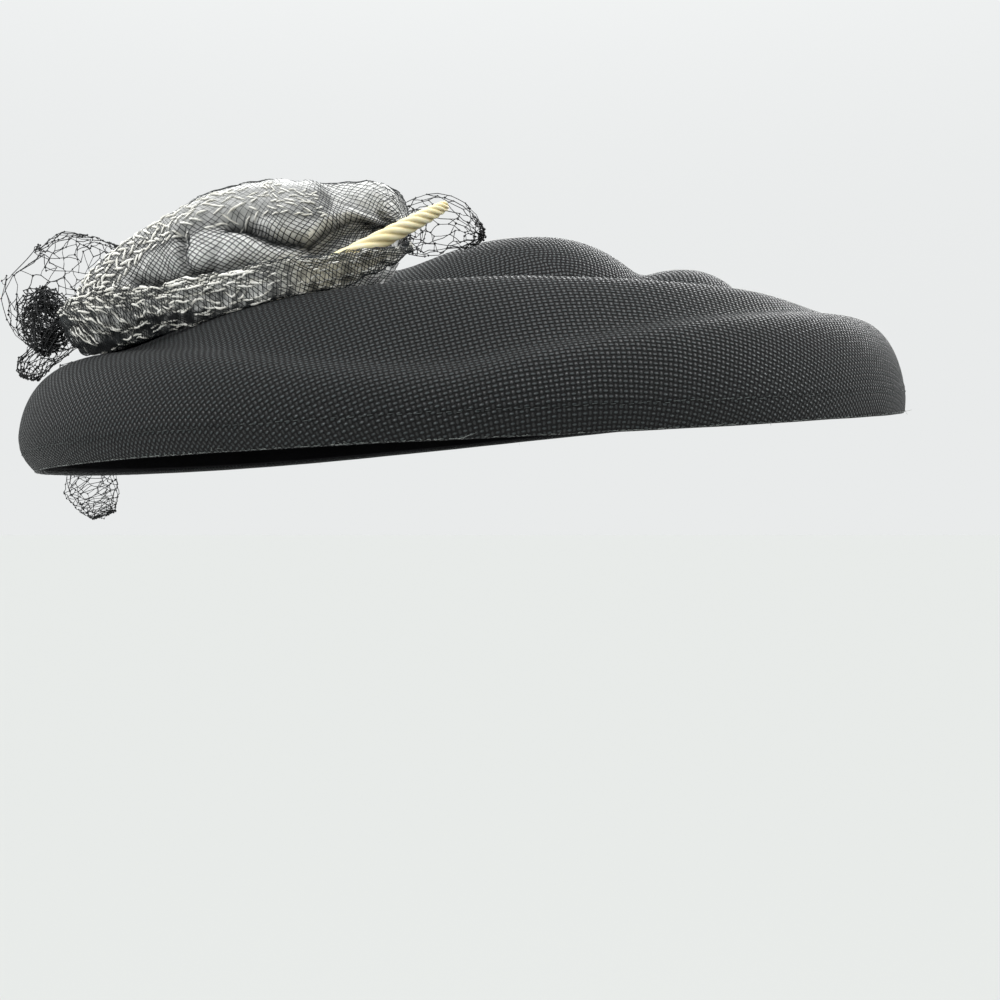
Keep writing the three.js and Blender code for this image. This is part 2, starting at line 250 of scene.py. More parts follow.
def gridFaces(rows, columns):
    # quads between rows of points, each row going round once
    r, c = np.meshgrid(np.arange(rows - 1), np.arange(columns), indexing="ij")
    n = (c + 1) % columns
    quads = np.stack([r * columns + c, r * columns + n, (r + 1) * columns + n, (r + 1) * columns + c], -1)
    return quads.reshape(-1, 4)


def closedFaces(rows, columns):
    # a grid's faces, and a fan at each end to a middle point; the two middles come after the grid
    k = np.arange(columns)
    last = (rows - 1) * columns
    middle = np.full(columns, rows * columns)
    first = np.stack([middle, (k + 1) % columns, k], -1)
    final = np.stack([last + k, last + (k + 1) % columns, middle + 1], -1)
    return [gridFaces(rows, columns), first, final]


def closedForm(point):
    # points and faces of a form drawn as rows of points round it
    ends = [point[0].mean(0), point[-1].mean(0)]
    return np.concatenate([point.reshape(-1, 3), ends]), closedFaces(*point.shape[:2])


def markOf(values):
    # a mark for each point of a closed form, none at its two middles
    return np.concatenate([values.ravel(), [0, 0]])


def tubes(paths, radii, sides=3, capped=False):
    # paths (m, n, 3) and radii (m, n): m threads of n points each, as joined tubes
    paths = np.asarray(paths, float)
    m, n = paths.shape[:2]
    radii = np.broadcast_to(np.asarray(radii, float), (m, n))
    along = np.gradient(paths, axis=1)
    along /= np.linalg.norm(along, axis=-1, keepdims=True).clip(1e-9)
    rough = np.where(np.abs(along[..., 2:3]) > 0.8, [1.0, 0.0, 0.0], [0.0, 0.0, 1.0])
    side = np.cross(along, rough)
    side /= np.linalg.norm(side, axis=-1, keepdims=True).clip(1e-9)
    up = np.cross(side, along)
    turn = 2 * math.pi * np.arange(sides) / sides
    ring = (paths[:, :, None] + radii[..., None, None]
            * (np.cos(turn)[:, None] * side[:, :, None] + np.sin(turn)[:, None] * up[:, :, None]))
    quads = gridFaces(n, sides)[None] + (np.arange(m) * n * sides)[:, None, None]
    faces = [quads.reshape(-1, 4)]
    if capped:
        first = np.arange(m)[:, None] * n * sides + np.arange(sides)[::-1]
        last = np.arange(m)[:, None] * n * sides + (n - 1) * sides + np.arange(sides)
        faces += [first, last]
    return ring.reshape(-1, 3), faces


def knots(places, radii):
    # small eight-sided knots at the net's corners
    shape = np.array([[1, 0, 0], [-1, 0, 0], [0, 1, 0], [0, -1, 0], [0, 0, 1], [0, 0, -1]], float)
    sides = np.array([[0, 2, 4], [2, 1, 4], [1, 3, 4], [3, 0, 4], [2, 0, 5], [1, 2, 5], [3, 1, 5], [0, 3, 5]])
    radii = np.broadcast_to(radii, (len(places),))
    points = places[:, None] + shape[None] * radii[:, None, None]
    starts = np.arange(len(places)) * len(shape)
    return points.reshape(-1, 3), [(sides[None] + starts[:, None, None]).reshape(-1, 3)]


def joined(*parts):
    points, faces, start = [], [], 0
    for somePoints, someFaces in parts:
        points.append(somePoints)
        faces += [np.asarray(f) + start for f in someFaces]
        start += len(somePoints)
    return np.concatenate(points), faces


def linear(hexColour):
    value = [int(hexColour[i:i + 2], 16) / 255 for i in (1, 3, 5)]
    return tuple(v / 12.92 if v <= 0.04045 else ((v + 0.055) / 1.055) ** 2.4 for v in value) + (1.0,)


def addNode(tree, kind, settings=None, links=None, stops=(), **values):
    # settings are the node's own options, values its constant inputs, links {input: output}, and
    # stops the two places and colours of a ramp
    node = tree.nodes.new("ShaderNode" + kind)
    for key, value in (settings or {}).items():
        setattr(node, key, value)
    for key, value in values.items():
        spot = int(key[2:]) if key.startswith("in") and key[2:].isdigit() else key.replace("_", " ")
        node.inputs[spot].default_value = value
    for spot, output in (links or {}).items():
        tree.links.new(output, node.inputs[spot])
    if stops:
        for element, (at, colour) in zip(node.color_ramp.elements, stops):
            element.position = at
            element.color = linear(colour)
    return node


def newMaterial(name, **surface):
    material = bpy.data.materials.new(name)
    material.use_nodes = True
    tree = material.node_tree
    shader = tree.nodes["Principled BSDF"]
    for key, value in surface.items():
        shader.inputs[key.replace("_", " ")].default_value = value
    return material, tree, shader


def finishSurface(tree, shader, colour, height, strength, relief):
    # the colour, and a relief in metres
    tree.links.new(colour, shader.inputs["Base Color"])
    bump = addNode(tree, "Bump", links={"Height": height}, Strength=strength, Distance=relief)
    tree.links.new(bump.outputs["Normal"], shader.inputs["Normal"])


# Straw cloth: split straw woven plain, sized and blocked. The eye gets a checker of short floats,
# the ones along the weft paler and glossier than the ones along the warp, with dark holes between.
# The holes' near-black and the floats' darkening toward them are painted shade, and the warp's
# darker colour is partly its own tone and partly painted shade.
strawLook = {
    "pitch": (1.55, 1.3),   # mm from thread to thread, each way
    "weft": "#373F41",
    "warp": "#1C2123",
    # painted shade: the colour where the weave lies low, between the threads
    "holeShade": "#020203",
    "roughness": 0.28,
    "relief": 0.55,         # mm
    "bows": (1.0, 0.75),    # how round the weft's and the warp's floats are across
    "bowAlong": 0.32,       # and along
}


def strawCloth():
    look = strawLook
    material, tree, shader = newMaterial("strawClothWovenBlocked", Roughness=look["roughness"],
                                         Specular_IOR_Level=0.45)
    place = addNode(tree, "UVMap", {"uv_map": "cloth"}).outputs["UV"]
    wander = addNode(tree, "TexNoise", links={"Vector": place}, Scale=0.11, Detail=2.0).outputs["Color"]
    sway = addNode(tree, "VectorMath", {"operation": "MULTIPLY_ADD"}, {0: wander, 2: place},
                   in1=(0.9, 0.9, 0))
    threads = addNode(tree, "VectorMath", {"operation": "MULTIPLY"}, {0: sway.outputs[0]},
                      in1=(1 / look["pitch"][0], 1 / look["pitch"][1], 0)).outputs[0]
    apart = addNode(tree, "SeparateXYZ", links={"Vector": threads})
    tents = []
    for axis in ("X", "Y"):
        inCell = addNode(tree, "Math", {"operation": "PINGPONG"}, {0: apart.outputs[axis]},
                         in1=0.5).outputs[0]
        tents.append(addNode(tree, "Math", {"operation": "MULTIPLY"}, {0: inCell}, in1=2.0).outputs[0])
    blobs = []
    for long, bow in enumerate(look["bows"]):
        flank = addNode(tree, "Math", {"operation": "POWER"}, {0: tents[1 - long]}, in1=bow).outputs[0]
        span = addNode(tree, "Math", {"operation": "POWER"}, {0: tents[long]},
                       in1=look["bowAlong"]).outputs[0]
        blobs.append(addNode(tree, "Math", {"operation": "MULTIPLY"}, {0: flank, 1: span}).outputs[0])
    inLayer = addNode(tree, "VectorMath", {"operation": "ADD"}, {0: threads}, in1=(0, 0, 0.5)).outputs[0]
    parity = addNode(tree, "TexChecker", links={"Vector": inLayer}, Scale=1.0,
                     Color1=(1, 1, 1, 1), Color2=(0, 0, 0, 1)).outputs["Fac"]
    height = addNode(tree, "Mix", {"data_type": "FLOAT"}, {0: parity, 2: blobs[1], 3: blobs[0]}).outputs[0]
    eachThread = addNode(tree, "VectorMath", {"operation": "FLOOR"}, {0: threads}).outputs[0]
    dyeLot = addNode(tree, "TexWhiteNoise", {"noise_dimensions": "2D"},
                     {"Vector": eachThread}).outputs["Value"]
    fading = addNode(tree, "TexNoise", links={"Vector": place}, Scale=0.016, Detail=3.0).outputs["Fac"]
    # painted shade: the floats' colour runs down to the hole colour where the weave's height is low
    weft = addNode(tree, "ValToRGB", links={"Fac": height},
                   stops=[(0.34, look["holeShade"]), (0.85, look["weft"])]).outputs["Color"]
    warp = addNode(tree, "ValToRGB", links={"Fac": height},
                   stops=[(0.34, look["holeShade"]), (0.9, look["warp"])]).outputs["Color"]
    woven = addNode(tree, "Mix", {"data_type": "RGBA"}, {0: parity, 6: warp, 7: weft}).outputs[2]
    uneven = addNode(tree, "MapRange", links={"Value": dyeLot}, To_Min=0.8, To_Max=1.12).outputs[0]
    faded = addNode(tree, "MapRange", links={"Value": fading}, From_Min=0.3, From_Max=0.7,
                    To_Min=0.85, To_Max=1.12).outputs[0]
    both = addNode(tree, "Math", {"operation": "MULTIPLY"}, {0: uneven, 1: faded}).outputs[0]
    colour = addNode(tree, "VectorMath", {"operation": "SCALE"}, {0: woven, "Scale": both}).outputs[0]
    gloss = addNode(tree, "MapRange", links={"Value": height}, From_Min=0.35, From_Max=0.8, To_Min=1.0,
                    To_Max=look["roughness"]).outputs[0]
    tree.links.new(gloss, shader.inputs["Roughness"])
    finishSurface(tree, shader, colour, height, 1.0, look["relief"] / 1000)
    return material


# Velvet: short cut pile on a woven ground, black. Nearly no light comes back but a faint bloom
# where the pile is seen from the side.
def velvet():
    material, tree, shader = newMaterial("velvetCutPile", Roughness=1.0, Specular_IOR_Level=0.1,
                                         Sheen_Weight=0.25, Sheen_Roughness=0.35,
                                         Sheen_Tint=linear("#3A3B40"))
    place = addNode(tree, "TexCoord").outputs["Object"]
    nap = addNode(tree, "TexNoise", links={"Vector": place}, Scale=55.0, Detail=3.0).outputs["Fac"]
    black = addNode(tree, "ValToRGB", links={"Fac": nap}, stops=[(0.3, "#040405"), (0.7, "#0B0B0D")])
    pile = addNode(tree, "TexNoise", links={"Vector": place}, Scale=1800.0, Detail=1.0).outputs["Fac"]
    finishSurface(tree, shader, black.outputs["Color"], pile, 0.5, 0.0004)
    return material


# A spun or drawn fibre: one colour that wanders along the thread, matt to satin.
def fibre(name, dark, pale, roughness, grain=220.0):
    material, tree, shader = newMaterial(name, Roughness=roughness, Specular_IOR_Level=0.3)
    place = addNode(tree, "TexCoord").outputs["Object"]
    dye = addNode(tree, "TexNoise", links={"Vector": place}, Scale=grain, Detail=3.0).outputs["Fac"]
    colour = addNode(tree, "ValToRGB", links={"Fac": dye}, stops=[(0.32, dark), (0.68, pale)])
    twist = addNode(tree, "TexNoise", links={"Vector": place}, Scale=2600.0, Detail=1.0).outputs["Fac"]
    finishSurface(tree, shader, colour.outputs["Color"], twist, 0.4, 0.0001)
    return material


# Gauze ground: silver-white slubbed silk gauze, open woven. Its creases and the shade inside the
# folds are painted: a shade mark darkens the colour where the cloth lies deep, and also between the
# roll's slubs, in the band's holes, hem and corner, and on the puff's top and back. The tan of what
# shows through from below is carried by the "tan" mark.
def gauzeGround(name, pale, deep):
    material, tree, shader = newMaterial(name, Roughness=0.8, Specular_IOR_Level=0.25, Sheen_Weight=0.15)
    place = addNode(tree, "TexCoord").outputs["Object"]
    slub = addNode(tree, "TexNoise", links={"Vector": place}, Scale=320.0, Detail=4.0).outputs["Fac"]
    depth = addNode(tree, "Attribute", {"attribute_name": "depth"}).outputs["Fac"]
    light = addNode(tree, "ValToRGB", links={"Fac": slub}, stops=[(0.3, "#E2E3E0"), (0.6, pale)])
    # painted shade: the colours the ground darkens to
    dark = addNode(tree, "ValToRGB", links={"Fac": slub}, stops=[(0.3, "#161718"), (0.7, deep)])
    over = addNode(tree, "Attribute", {"attribute_name": "tan"}).outputs["Fac"]
    tinted = addNode(tree, "Mix", {"data_type": "RGBA"}, {0: over, 6: light.outputs["Color"]},
                     in7=linear("#D0C5A2")).outputs[2]
    colour = addNode(tree, "Mix", {"data_type": "RGBA"},
                     {0: depth, 6: tinted, 7: dark.outputs["Color"]}).outputs[2]
    finishSurface(tree, shader, colour, slub, 0.7, 0.0005)
    return material


# Horn: cream, cut and twisted, polished to a satin. A painted shade, tan, darkens the grooves, marked
# "groove".
def twistedHorn():
    material, tree, shader = newMaterial("hornCarvedPolished", Roughness=0.38, IOR=1.54,
                                         Subsurface_Weight=0.12, Subsurface_Radius=(1.0, 0.6, 0.3),
                                         Subsurface_Scale=0.0012)
    place = addNode(tree, "TexCoord").outputs["Object"]
    groove = addNode(tree, "Attribute", {"attribute_name": "groove"}).outputs["Fac"]
    streak = addNode(tree, "TexNoise", links={"Vector": place}, Scale=260.0, Detail=3.0).outputs["Fac"]
    cream = addNode(tree, "ValToRGB", links={"Fac": streak}, stops=[(0.3, "#F6E8B6"), (0.7, "#FFF6D2")])
    # painted shade: the grooves run to tan
    colour = addNode(tree, "Mix", {"data_type": "RGBA"}, {0: groove, 6: cream.outputs["Color"]},
                     in7=linear("#D9C68C")).outputs[2]
    finishSurface(tree, shader, colour, streak, 0.25, 0.0002)
    return material


clothFinish = strawCloth()
velvetFinish = velvet()
stitchFinish = fibre("cottonThreadTwisted", "#16191A", "#555A59", 0.6, grain=45.0)
looseFinish = fibre("strawFibreSplit", "#4A504F", "#9A9F9C", 0.6)
groundFinish = gauzeGround("silkGauzeSlubbed", "#FFFFFD", "#3A3C3D")
scrimFinish = fibre("scrimThreadDyed", "#17191B", "#3C4042", 0.65)
slubFinish = fibre("slubYarnSpun", "#D9D7CE", "#FFFEF8", 0.75, grain=420.0)
veilFinish = fibre("veilingNylonKnotted", "#0A0B0C", "#232527", 0.55)
hornFinish = twistedHorn()
print("materials made")

# Straw body: one blocked cloth with its edge turned under and stitched.
body = {
    "around": 470,
    "topRows": 112,
    "shoulderRows": 44,
    "innerRows": 26,
    "hemWidth": 8.2,      # mm of cloth turned under
    "hemRise": 0.35,      # mm the fold stands proud
    "stitchIn": 7.0,      # mm from the rim to the stitching
    "stitchDip": 0.25,
    "hemSoftness": 1.6,   # mm over which the fold's rise dies out
    "stitchGroove": 0.7,  # mm, how wide the stitching is drawn in
    "pucker": 0.12,       # mm, beside the stitches
    "puckers": 385,       # round the rim
    "puckerReach": 3.0,   # mm
    "waver": 0.35,        # mm of unevenness along the rim
    "waverReach": 16.0,   # mm
    "weftTurn": 11.0,     # degrees the weft is turned from the side-to-side line
}


def waverAt(degrees, seed, size):
    t = np.radians(degrees)
    local = np.random.default_rng(seed)
    total = 0
    for wave in (5, 9, 14, 23, 37):
        total = total + np.sin(wave * t + local.uniform(0, 6.28)) / wave**0.5 * local.uniform(0.5, 1)
    return size * total


def smoothRound(line, kept=0.03):
    # a line round the hat without its quick waves
    waves = np.fft.fft(line) * (np.abs(np.fft.fftfreq(len(line))) < kept)
    return np.real(np.fft.ifft(waves))


def strawPiece():
    around = np.linspace(-180, 180, body["around"], endpoint=False)
    shoulder = hat["shoulderShare"] * np.linspace(0, 1, body["shoulderRows"]) ** 1.15
    top = hat["shoulderShare"] + (1 - hat["shoulderShare"]) * np.linspace(0, 1, body["topRows"] + 1)[1:-1]
    runs = np.concatenate([shoulder, top])
    deg, run = np.meshgrid(around, runs)
    point = strawPoint(deg, run)
    normal = strawNormal(deg, run)
    steps = np.linalg.norm(np.diff(point, axis=0), axis=-1)
    fromRim = np.concatenate([np.zeros((1, len(around))), np.cumsum(steps, 0)])
    fromStitch = fromRim - body["stitchIn"]
    hem = body["hemRise"] * (1 - ease((fromRim - body["hemWidth"]) / body["hemSoftness"]))
    dip = body["stitchDip"] * np.exp(-((fromStitch / body["stitchGroove"]) ** 2))
    pucker = body["pucker"] * np.cos(np.radians(deg) * body["puckers"])
    pucker = pucker * np.exp(-((fromStitch / body["puckerReach"]) ** 2))
    sag = waverAt(deg, 5, body["waver"]) * np.exp(-fromRim / body["waverReach"])
    outer = point + normal * (hem - dip + pucker * 0.4 + sag * 0.5)[..., None]
    outer[..., 2] += sag * 0.6
    # cloth coordinates: true lengths along each direction beyond the roll, even out to it inside
    toMiddle = fromRim[-1] + np.linalg.norm(point[-1] - strawPoint(0, 1), axis=-1)
    section = sectionAt(around)
    inset = outlineRadius(deg) - np.hypot(point[..., 0], point[..., 1])
    crestRow = np.argmin(np.abs(inset - section["crestIn"]), axis=0)
    atCrest = np.take_along_axis(fromRim, crestRow[None], 0)[0]
    crestRadius = outlineRadius(around) - section["crestIn"]
    atCrest, crestRadius, toMiddle = (smoothRound(line) for line in (atCrest, crestRadius, toMiddle))
    inside = (toMiddle - fromRim) * crestRadius / (toMiddle - atCrest)
    reach = np.where(fromRim > atCrest, inside, crestRadius + atCrest - fromRim)
    turn = np.radians(deg) - math.radians(body["weftTurn"])
    uvOuter = np.stack([reach * np.cos(turn), reach * np.sin(turn)], -1)
    innerRuns = np.concatenate([[0, 0.02], np.linspace(0.06, 0.97, body["innerRows"] - 2)])
    deg2, run2 = np.meshgrid(around, innerRuns)
    inner = strawPoint(deg2, run2) - strawNormal(deg2, run2) * hat["wall"]
    inner[..., 2] += waverAt(deg2, 5, body["waver"]) * 0.6 * np.exp(-run2 * 40)
    fromMiddle = np.hypot(inner[..., 0], inner[..., 1])
    uvInner = np.stack([fromMiddle * np.cos(turn[0]), fromMiddle * np.sin(turn[0])], -1)
    # the fold itself, a half round between the outer and inner rows
    middle = (outer[0] + inner[0]) / 2
    half = (outer[0] - inner[0]) / 2
    down = -np.gradient(point, axis=0)[0]
    down /= np.linalg.norm(down, axis=-1, keepdims=True)
    size = np.linalg.norm(half, axis=-1, keepdims=True)
    fold = [middle + half * math.cos(a) + down * size * 0.55 * math.sin(a) for a in (0.8, 1.57, 2.35)]
    uvFold = np.stack([uvOuter[0] * (1 + k * 0.006) for k in (1, 2, 3)])
    rows = np.concatenate([outer[::-1], np.stack(fold), inner])
    uvRows = np.concatenate([uvOuter[::-1], uvFold, uvInner])
    crown = strawPoint(0, 1)
    points = np.concatenate([rows.reshape(-1, 3), [crown], [crown - [0, 0, hat["wall"]]]])
    uv = np.concatenate([uvRows.reshape(-1, 2), [[0, 0], [0, 0]]])
    faces = [part[:, ::-1] for part in closedFaces(len(rows), len(around))]
    piece = meshPiece("strawBody", points, faces, clothFinish, "straw_cloth", ["straw_body"], uv=uv)
    return piece, fromRim, outer, normal, around


strawBody, fromRim, strawOuter, strawOut, strawAround = strawPiece()


def onRim(degrees, distance, lift):
    # a place on the straw at a distance up from the rim, and the way out of the cloth there
    count = len(strawAround)
    column = np.interp(np.mod(degrees + 180, 360), np.arange(count + 1) * 360 / count, np.arange(count + 1))
    low = np.floor(column).astype(int) % count
    high = (low + 1) % count
    mix = (column - np.floor(column))[:, None]
    found = []
    for col in (low, high):
        rows = np.array([np.interp(d, fromRim[:, c], np.arange(len(fromRim))) for d, c in zip(distance, col)])
        r = np.floor(rows).astype(int).clip(0, len(fromRim) - 2)
        f = (rows - r)[:, None]
        found.append((strawOuter[r, col] * (1 - f) + strawOuter[r + 1, col] * f,
                      strawOut[r, col] * (1 - f) + strawOut[r + 1, col] * f))
    point = found[0][0] * (1 - mix) + found[1][0] * mix
    out = found[0][1] * (1 - mix) + found[1][1] * mix
    return point + out * np.asarray(lift)[:, None], out


stitch = {
    "count": 392,
    "length": 0.6,        # share of the pitch
    "thick": 0.11,        # mm, half a thread's thickness
    "stray": 0.16,        # mm
    "slant": 0.12,        # mm from one end to the other
    # how high the thread lies, in mm, at shares of its length
    "lifts": ((0, -0.2), (0.12, 0.05), (0.5, 0.14), (0.88, 0.05), (1, -0.2)),
}


def stitchPiece():
    count = stitch["count"]
    start = -180 + 360 * (np.arange(count) + rng.uniform(-0.08, 0.08, count)) / count
    distance = body["stitchIn"] + rng.normal(0, stitch["stray"], count)
    paths = []
    for share, lift in stitch["lifts"]:
        at = start + 360 / count * stitch["length"] * share
        paths.append(onRim(at, distance + (share - 0.5) * stitch["slant"], np.full(count, lift))[0])
    points, faces = tubes(np.stack(paths, 1), stitch["thick"], sides=5, capped=True)
    return meshPiece("hemStitches", points, faces, stitchFinish, "straw_cloth")


hemStitches = stitchPiece()

looseFibres = {
    "count": 30,
    "long": (1.2, 4.2),       # mm
    "thick": 0.07,            # mm, half a fibre's thickness
    "curl": 0.45,
    "frayed": 900,            # cut ends along the edge
    "frayedRun": (0.15, 0.55),     # degrees
    "frayedThick": (0.04, 0.09),
}


def loosePiece():
    count = looseFibres["count"]
    at = rng.uniform(-180, 180, count)
    root, out = onRim(at, rng.uniform(0.1, 1.6, count), np.full(count, 0.05))
    length = rng.uniform(*looseFibres["long"], count) * rng.uniform(0.3, 1, count)
    angle = np.radians(at)
    round_ = np.stack([-np.sin(angle), np.cos(angle), 0 * angle], -1) * rng.choice([-1, 1], count)[:, None]
    lean = out * rng.uniform(0.1, 0.5, count)[:, None] + round_ * rng.uniform(0.3, 1.2, count)[:, None]
    lean[:, 2] -= rng.uniform(0.0, 0.9, count)
    lean /= np.linalg.norm(lean, axis=-1, keepdims=True)
    curl = rng.normal(0, 1, (count, 3)) * looseFibres["curl"]
    shares = np.linspace(0, 1, 6)
    paths = root[:, None] + length[:, None, None] * (lean[:, None] * shares[None, :, None]
                                                      + curl[:, None] * (shares**2)[None, :, None])
    loose = tubes(paths, looseFibres["thick"] * (1 - 0.5 * shares)[None], sides=3, capped=True)
    # the cut ends along the very edge, short and lying nearly along it
    many = looseFibres["frayed"]
    start = rng.uniform(-180, 180, many)
    run = rng.uniform(*looseFibres["frayedRun"], many) * rng.choice([-1, 1], many)
    edge = [onRim(start + run * share, np.abs(rng.normal(0.1, 0.12, many)), 0.1 + 0.1 * share + 0 * start)[0]
            for share in (0, 0.5, 1)]
    thick = rng.uniform(*looseFibres["frayedThick"], (many, 1))
    frayed = tubes(np.stack(edge, 1), thick, sides=3, capped=True)
    return meshPiece("rimFibres", *joined(loose, frayed), looseFinish, "straw_cloth")


rimFibres = loosePiece()

# Facing: velvet laid under the brim from the rim to the head opening.
facing = {"around": 300, "shoulderRows": 13, "underRows": 21, "openingRun": 0.5917}


def facingPiece():
    around = np.linspace(-180, 180, facing["around"], endpoint=False)
    shoulder = np.linspace(0, hat["shoulderShare"], facing["shoulderRows"] + 1)[:-1]
    under = np.linspace(hat["shoulderShare"], facing["openingRun"], facing["underRows"])
    deg, run = np.meshgrid(around, np.concatenate([shoulder, under]))
    point = strawPoint(deg, run, False)
    normal = strawNormal(deg, run, False)
    upper = point - normal * (hat["wall"] + hat["gap"])
    quilt = 0.12 * np.sin(np.radians(deg) * 63 + 4 * run) * ease(run * 8) + waverAt(deg, 9, 0.1)
    lower = point - normal * (hat["wall"] + hat["gap"] + hat["facing"] + quilt)[..., None]
    rows = np.concatenate([upper, lower[::-1]])
    count = len(around)
    faces = gridFaces(len(rows), count)
    k = np.arange(count)
    last = (len(rows) - 1) * count
    close = np.stack([last + k, last + (k + 1) % count, (k + 1) % count, k], -1)
    return meshPiece("velvetFacing", rows.reshape(-1, 3), [faces, close], velvetFinish,
                     "velvet", ["underbrim_facing"])


velvetFacing = facingPiece()

# Trims are laid along rows of places in mm; rise is the half size along the section's up, deep the
# one across, and lean the degrees that up is turned.
trimColumns = ("x", "y", "z", "rise", "deep", "lean")


def alongRows(rows, share):
    table = np.array(rows, float)
    last = len(table) - 1
    i = np.minimum(np.floor(share * last).astype(int), last - 1)
    near = [table[np.clip(i + k, 0, last)] for k in (-1, 0, 1, 2)]
    s = (share * last - i)[..., None]
    return cubic([-1, 0, 1, 2], near, s)


def loftFrame(rows, t, up):
    # the middle, two directions and half sizes of the section at t, 0 to 1 with rounded spacing
    share = 0.5 - 0.5 * np.cos(math.pi * np.asarray(t, float))
    here = alongRows(rows, share)
    ahead = alongRows(rows, np.minimum(share + 0.01, 1))[..., :3]
    behind = alongRows(rows, np.maximum(share - 0.01, 0))[..., :3]
    tangent = (ahead - behind) / np.linalg.norm(ahead - behind, axis=-1, keepdims=True)
    up = np.asarray(up, float)
    rise = up - tangent * (tangent @ up)[..., None]
    rise /= np.linalg.norm(rise, axis=-1, keepdims=True)
    named = dict(zip(trimColumns, np.moveaxis(here, -1, 0)))
    lean = np.radians(named["lean"])[..., None]
    rise = rise * np.cos(lean) + np.cross(tangent, rise) * np.sin(lean)
    return here[..., :3], rise, np.cross(rise, tangent), named["rise"], named["deep"]


def loftPoint(rows, t, degrees, up=(0, 0, 1), blunt=3.0, boxy=2.2, out=0.0, floor=0.5):
    middle, rise, across, halfRise, halfDeep = loftFrame(rows, t, up)
    close = np.sqrt(np.clip(1 - np.abs(2 * np.asarray(t) - 1) ** blunt, 0, 1))
    cos, sin = np.cos(np.radians(degrees)), np.sin(np.radians(degrees))
    u = np.sign(cos) * np.abs(cos) ** (2 / boxy) * (halfRise * close + out)
    v = np.sign(sin) * np.abs(sin) ** (2 / boxy) * (halfDeep * close + out)
    point = middle + rise * u[..., None] + across * v[..., None]
    ground = hatTop(point[..., 0], point[..., 1]) + floor
    point[..., 2] = np.maximum(point[..., 2], ground)
    return point


# Gauze puff: a crushed roll of slubbed gauze under dark scrim. The folds are lines in the level
# hat's x and z on its front, with how deep and how wide each is pressed in, in mm.
puff = {
    "rows": [
        (-122.5, -72, 44, 8, 10, 0), (-113.5, -70, 49, 14.5, 21, 0), (-98, -69, 55, 19, 27, 0),
        (-82, -69, 58.5, 22, 31, 0), (-65, -70, 62, 25.5, 34, 0), (-48, -69, 63.5, 25.5, 35, 0),
        (-33, -67, 69.5, 20.5, 31, 0), (-21, -67, 76, 13.5, 22, 0), (-12.5, -68, 76.8, 8.7, 14, 0),
    ],
    "folds": [
        {"line": [(-62.4, 70.1), (-57.2, 69.1), (-53.8, 66.5), (-50.2, 64.2), (-46.1, 63.1), (-42.1, 62.4)],
         "deep": 6.0, "wide": 2.0},
        {"line": [(-77.7, 68.2), (-77.1, 65.3), (-77.8, 62.5), (-77.1, 59.5), (-75.6, 56.1), (-71, 55.2)],
         "deep": 3.4, "wide": 1.5},
        {"line": [(-107.5, 53.6), (-100.1, 59.9), (-94.3, 64.1), (-87.8, 67), (-77.6, 69.4), (-68.3, 70.1),
                  (-60.8, 70.8), (-53.9, 71)], "deep": 0.9, "wide": 2.0},
        {"line": [(-66.8, 62.6), (-69.4, 56.3)], "deep": 1.4, "wide": 1.8},
        {"line": [(-37, 58.5), (-34, 62.2), (-29.5, 65.2), (-24, 65.8), (-18.5, 64.5)],
         "deep": 8.0, "wide": 4.4, "shade": 0.42},
        {"line": [(-40.3, 60), (-37.9, 63.2), (-34.4, 66.5), (-31.5, 68.3), (-27.8, 70.2), (-25, 70.2),
                  (-22.3, 68.9)], "deep": 2.4, "wide": 1.2, "shade": 0.7},
        {"line": [(-93.5, 56), (-89.2, 54.8), (-86.1, 53.8)], "deep": 3.6, "wide": 1.8},
        {"line": [(-86, 53.6), (-77, 54.6), (-68, 55.4), (-58, 56.5)], "deep": 2.0, "wide": 1.9},
        {"line": [(-27.6, 76.5), (-22.8, 74.4), (-18.4, 71.5)], "deep": 1.5, "wide": 1.8},
    ],
    "swells": [
        {"line": [(-111.3, 55.9), (-103.8, 61.1), (-95.9, 67.4), (-88.4, 70.4), (-78, 73.3), (-68.7, 75.3),
                  (-61.3, 76.6)], "deep": 1.4, "wide": 4.4},
        {"line": [(-52, 76), (-42, 72)], "deep": 1.6, "wide": 8.0},
        {"line": [(-40.9, 62.6), (-37.4, 65.6), (-33.8, 69), (-30.5, 71.6), (-26.9, 72.6), (-23, 71)],
         "deep": 1.7, "wide": 1.9},
        {"line": [(-88, 61), (-72, 62.5), (-57, 61)], "deep": 1.4, "wide": 5.0},
    ],
    "backShade": 0.3,        # how dark the ground is beyond the top, where the light falls full on it
    "backFrom": 34,          # degrees before the top's edge where that begins
    "backOver": 50,          # degrees over which it comes
    "rollShade": 0.55,       # how dark the ground shows between the roll's slubs
    "gather": 0.5,           # mm, in folds drawn together at the two ends
    "gathers": 26,           # round the puff
    "crumple": (0.45, 9.0),  # mm, how much and how wide
    "plane": 70,             # mm in front of the middle, where the roll's heights are read
    "ground": -0.45,         # mm, where the gauze, its slubs and the scrim over them lie
    "slub": -0.12,
    "sight": 0.29,           # the slope at which the front is seen, from a little below
}

# The roll's slub yarns, in rows along its line, slanting one way and the other like herringbone. The
# line is in x and in height as seen from in front.
puffSlubs = {
    "line": [(-119, 51), (-115.8, 57), (-111.3, 61.6), (-103.8, 67.5), (-95.9, 73), (-88.4, 76.8),
             (-78, 80.4), (-68.7, 83), (-61.3, 84.4), (-54.2, 84.9), (-45.8, 84.6), (-37.1, 82.8)],
    "reach": 4.6,           # mm to each side of the roll's line
    "apart": 1.4,           # mm from row to row
    "every": 3.1,           # mm from slub to slub in a row
    "long": (3.3, 4.7),
    "thick": (0.38, 0.5),
    "slant": 21.0,          # degrees to each side
}


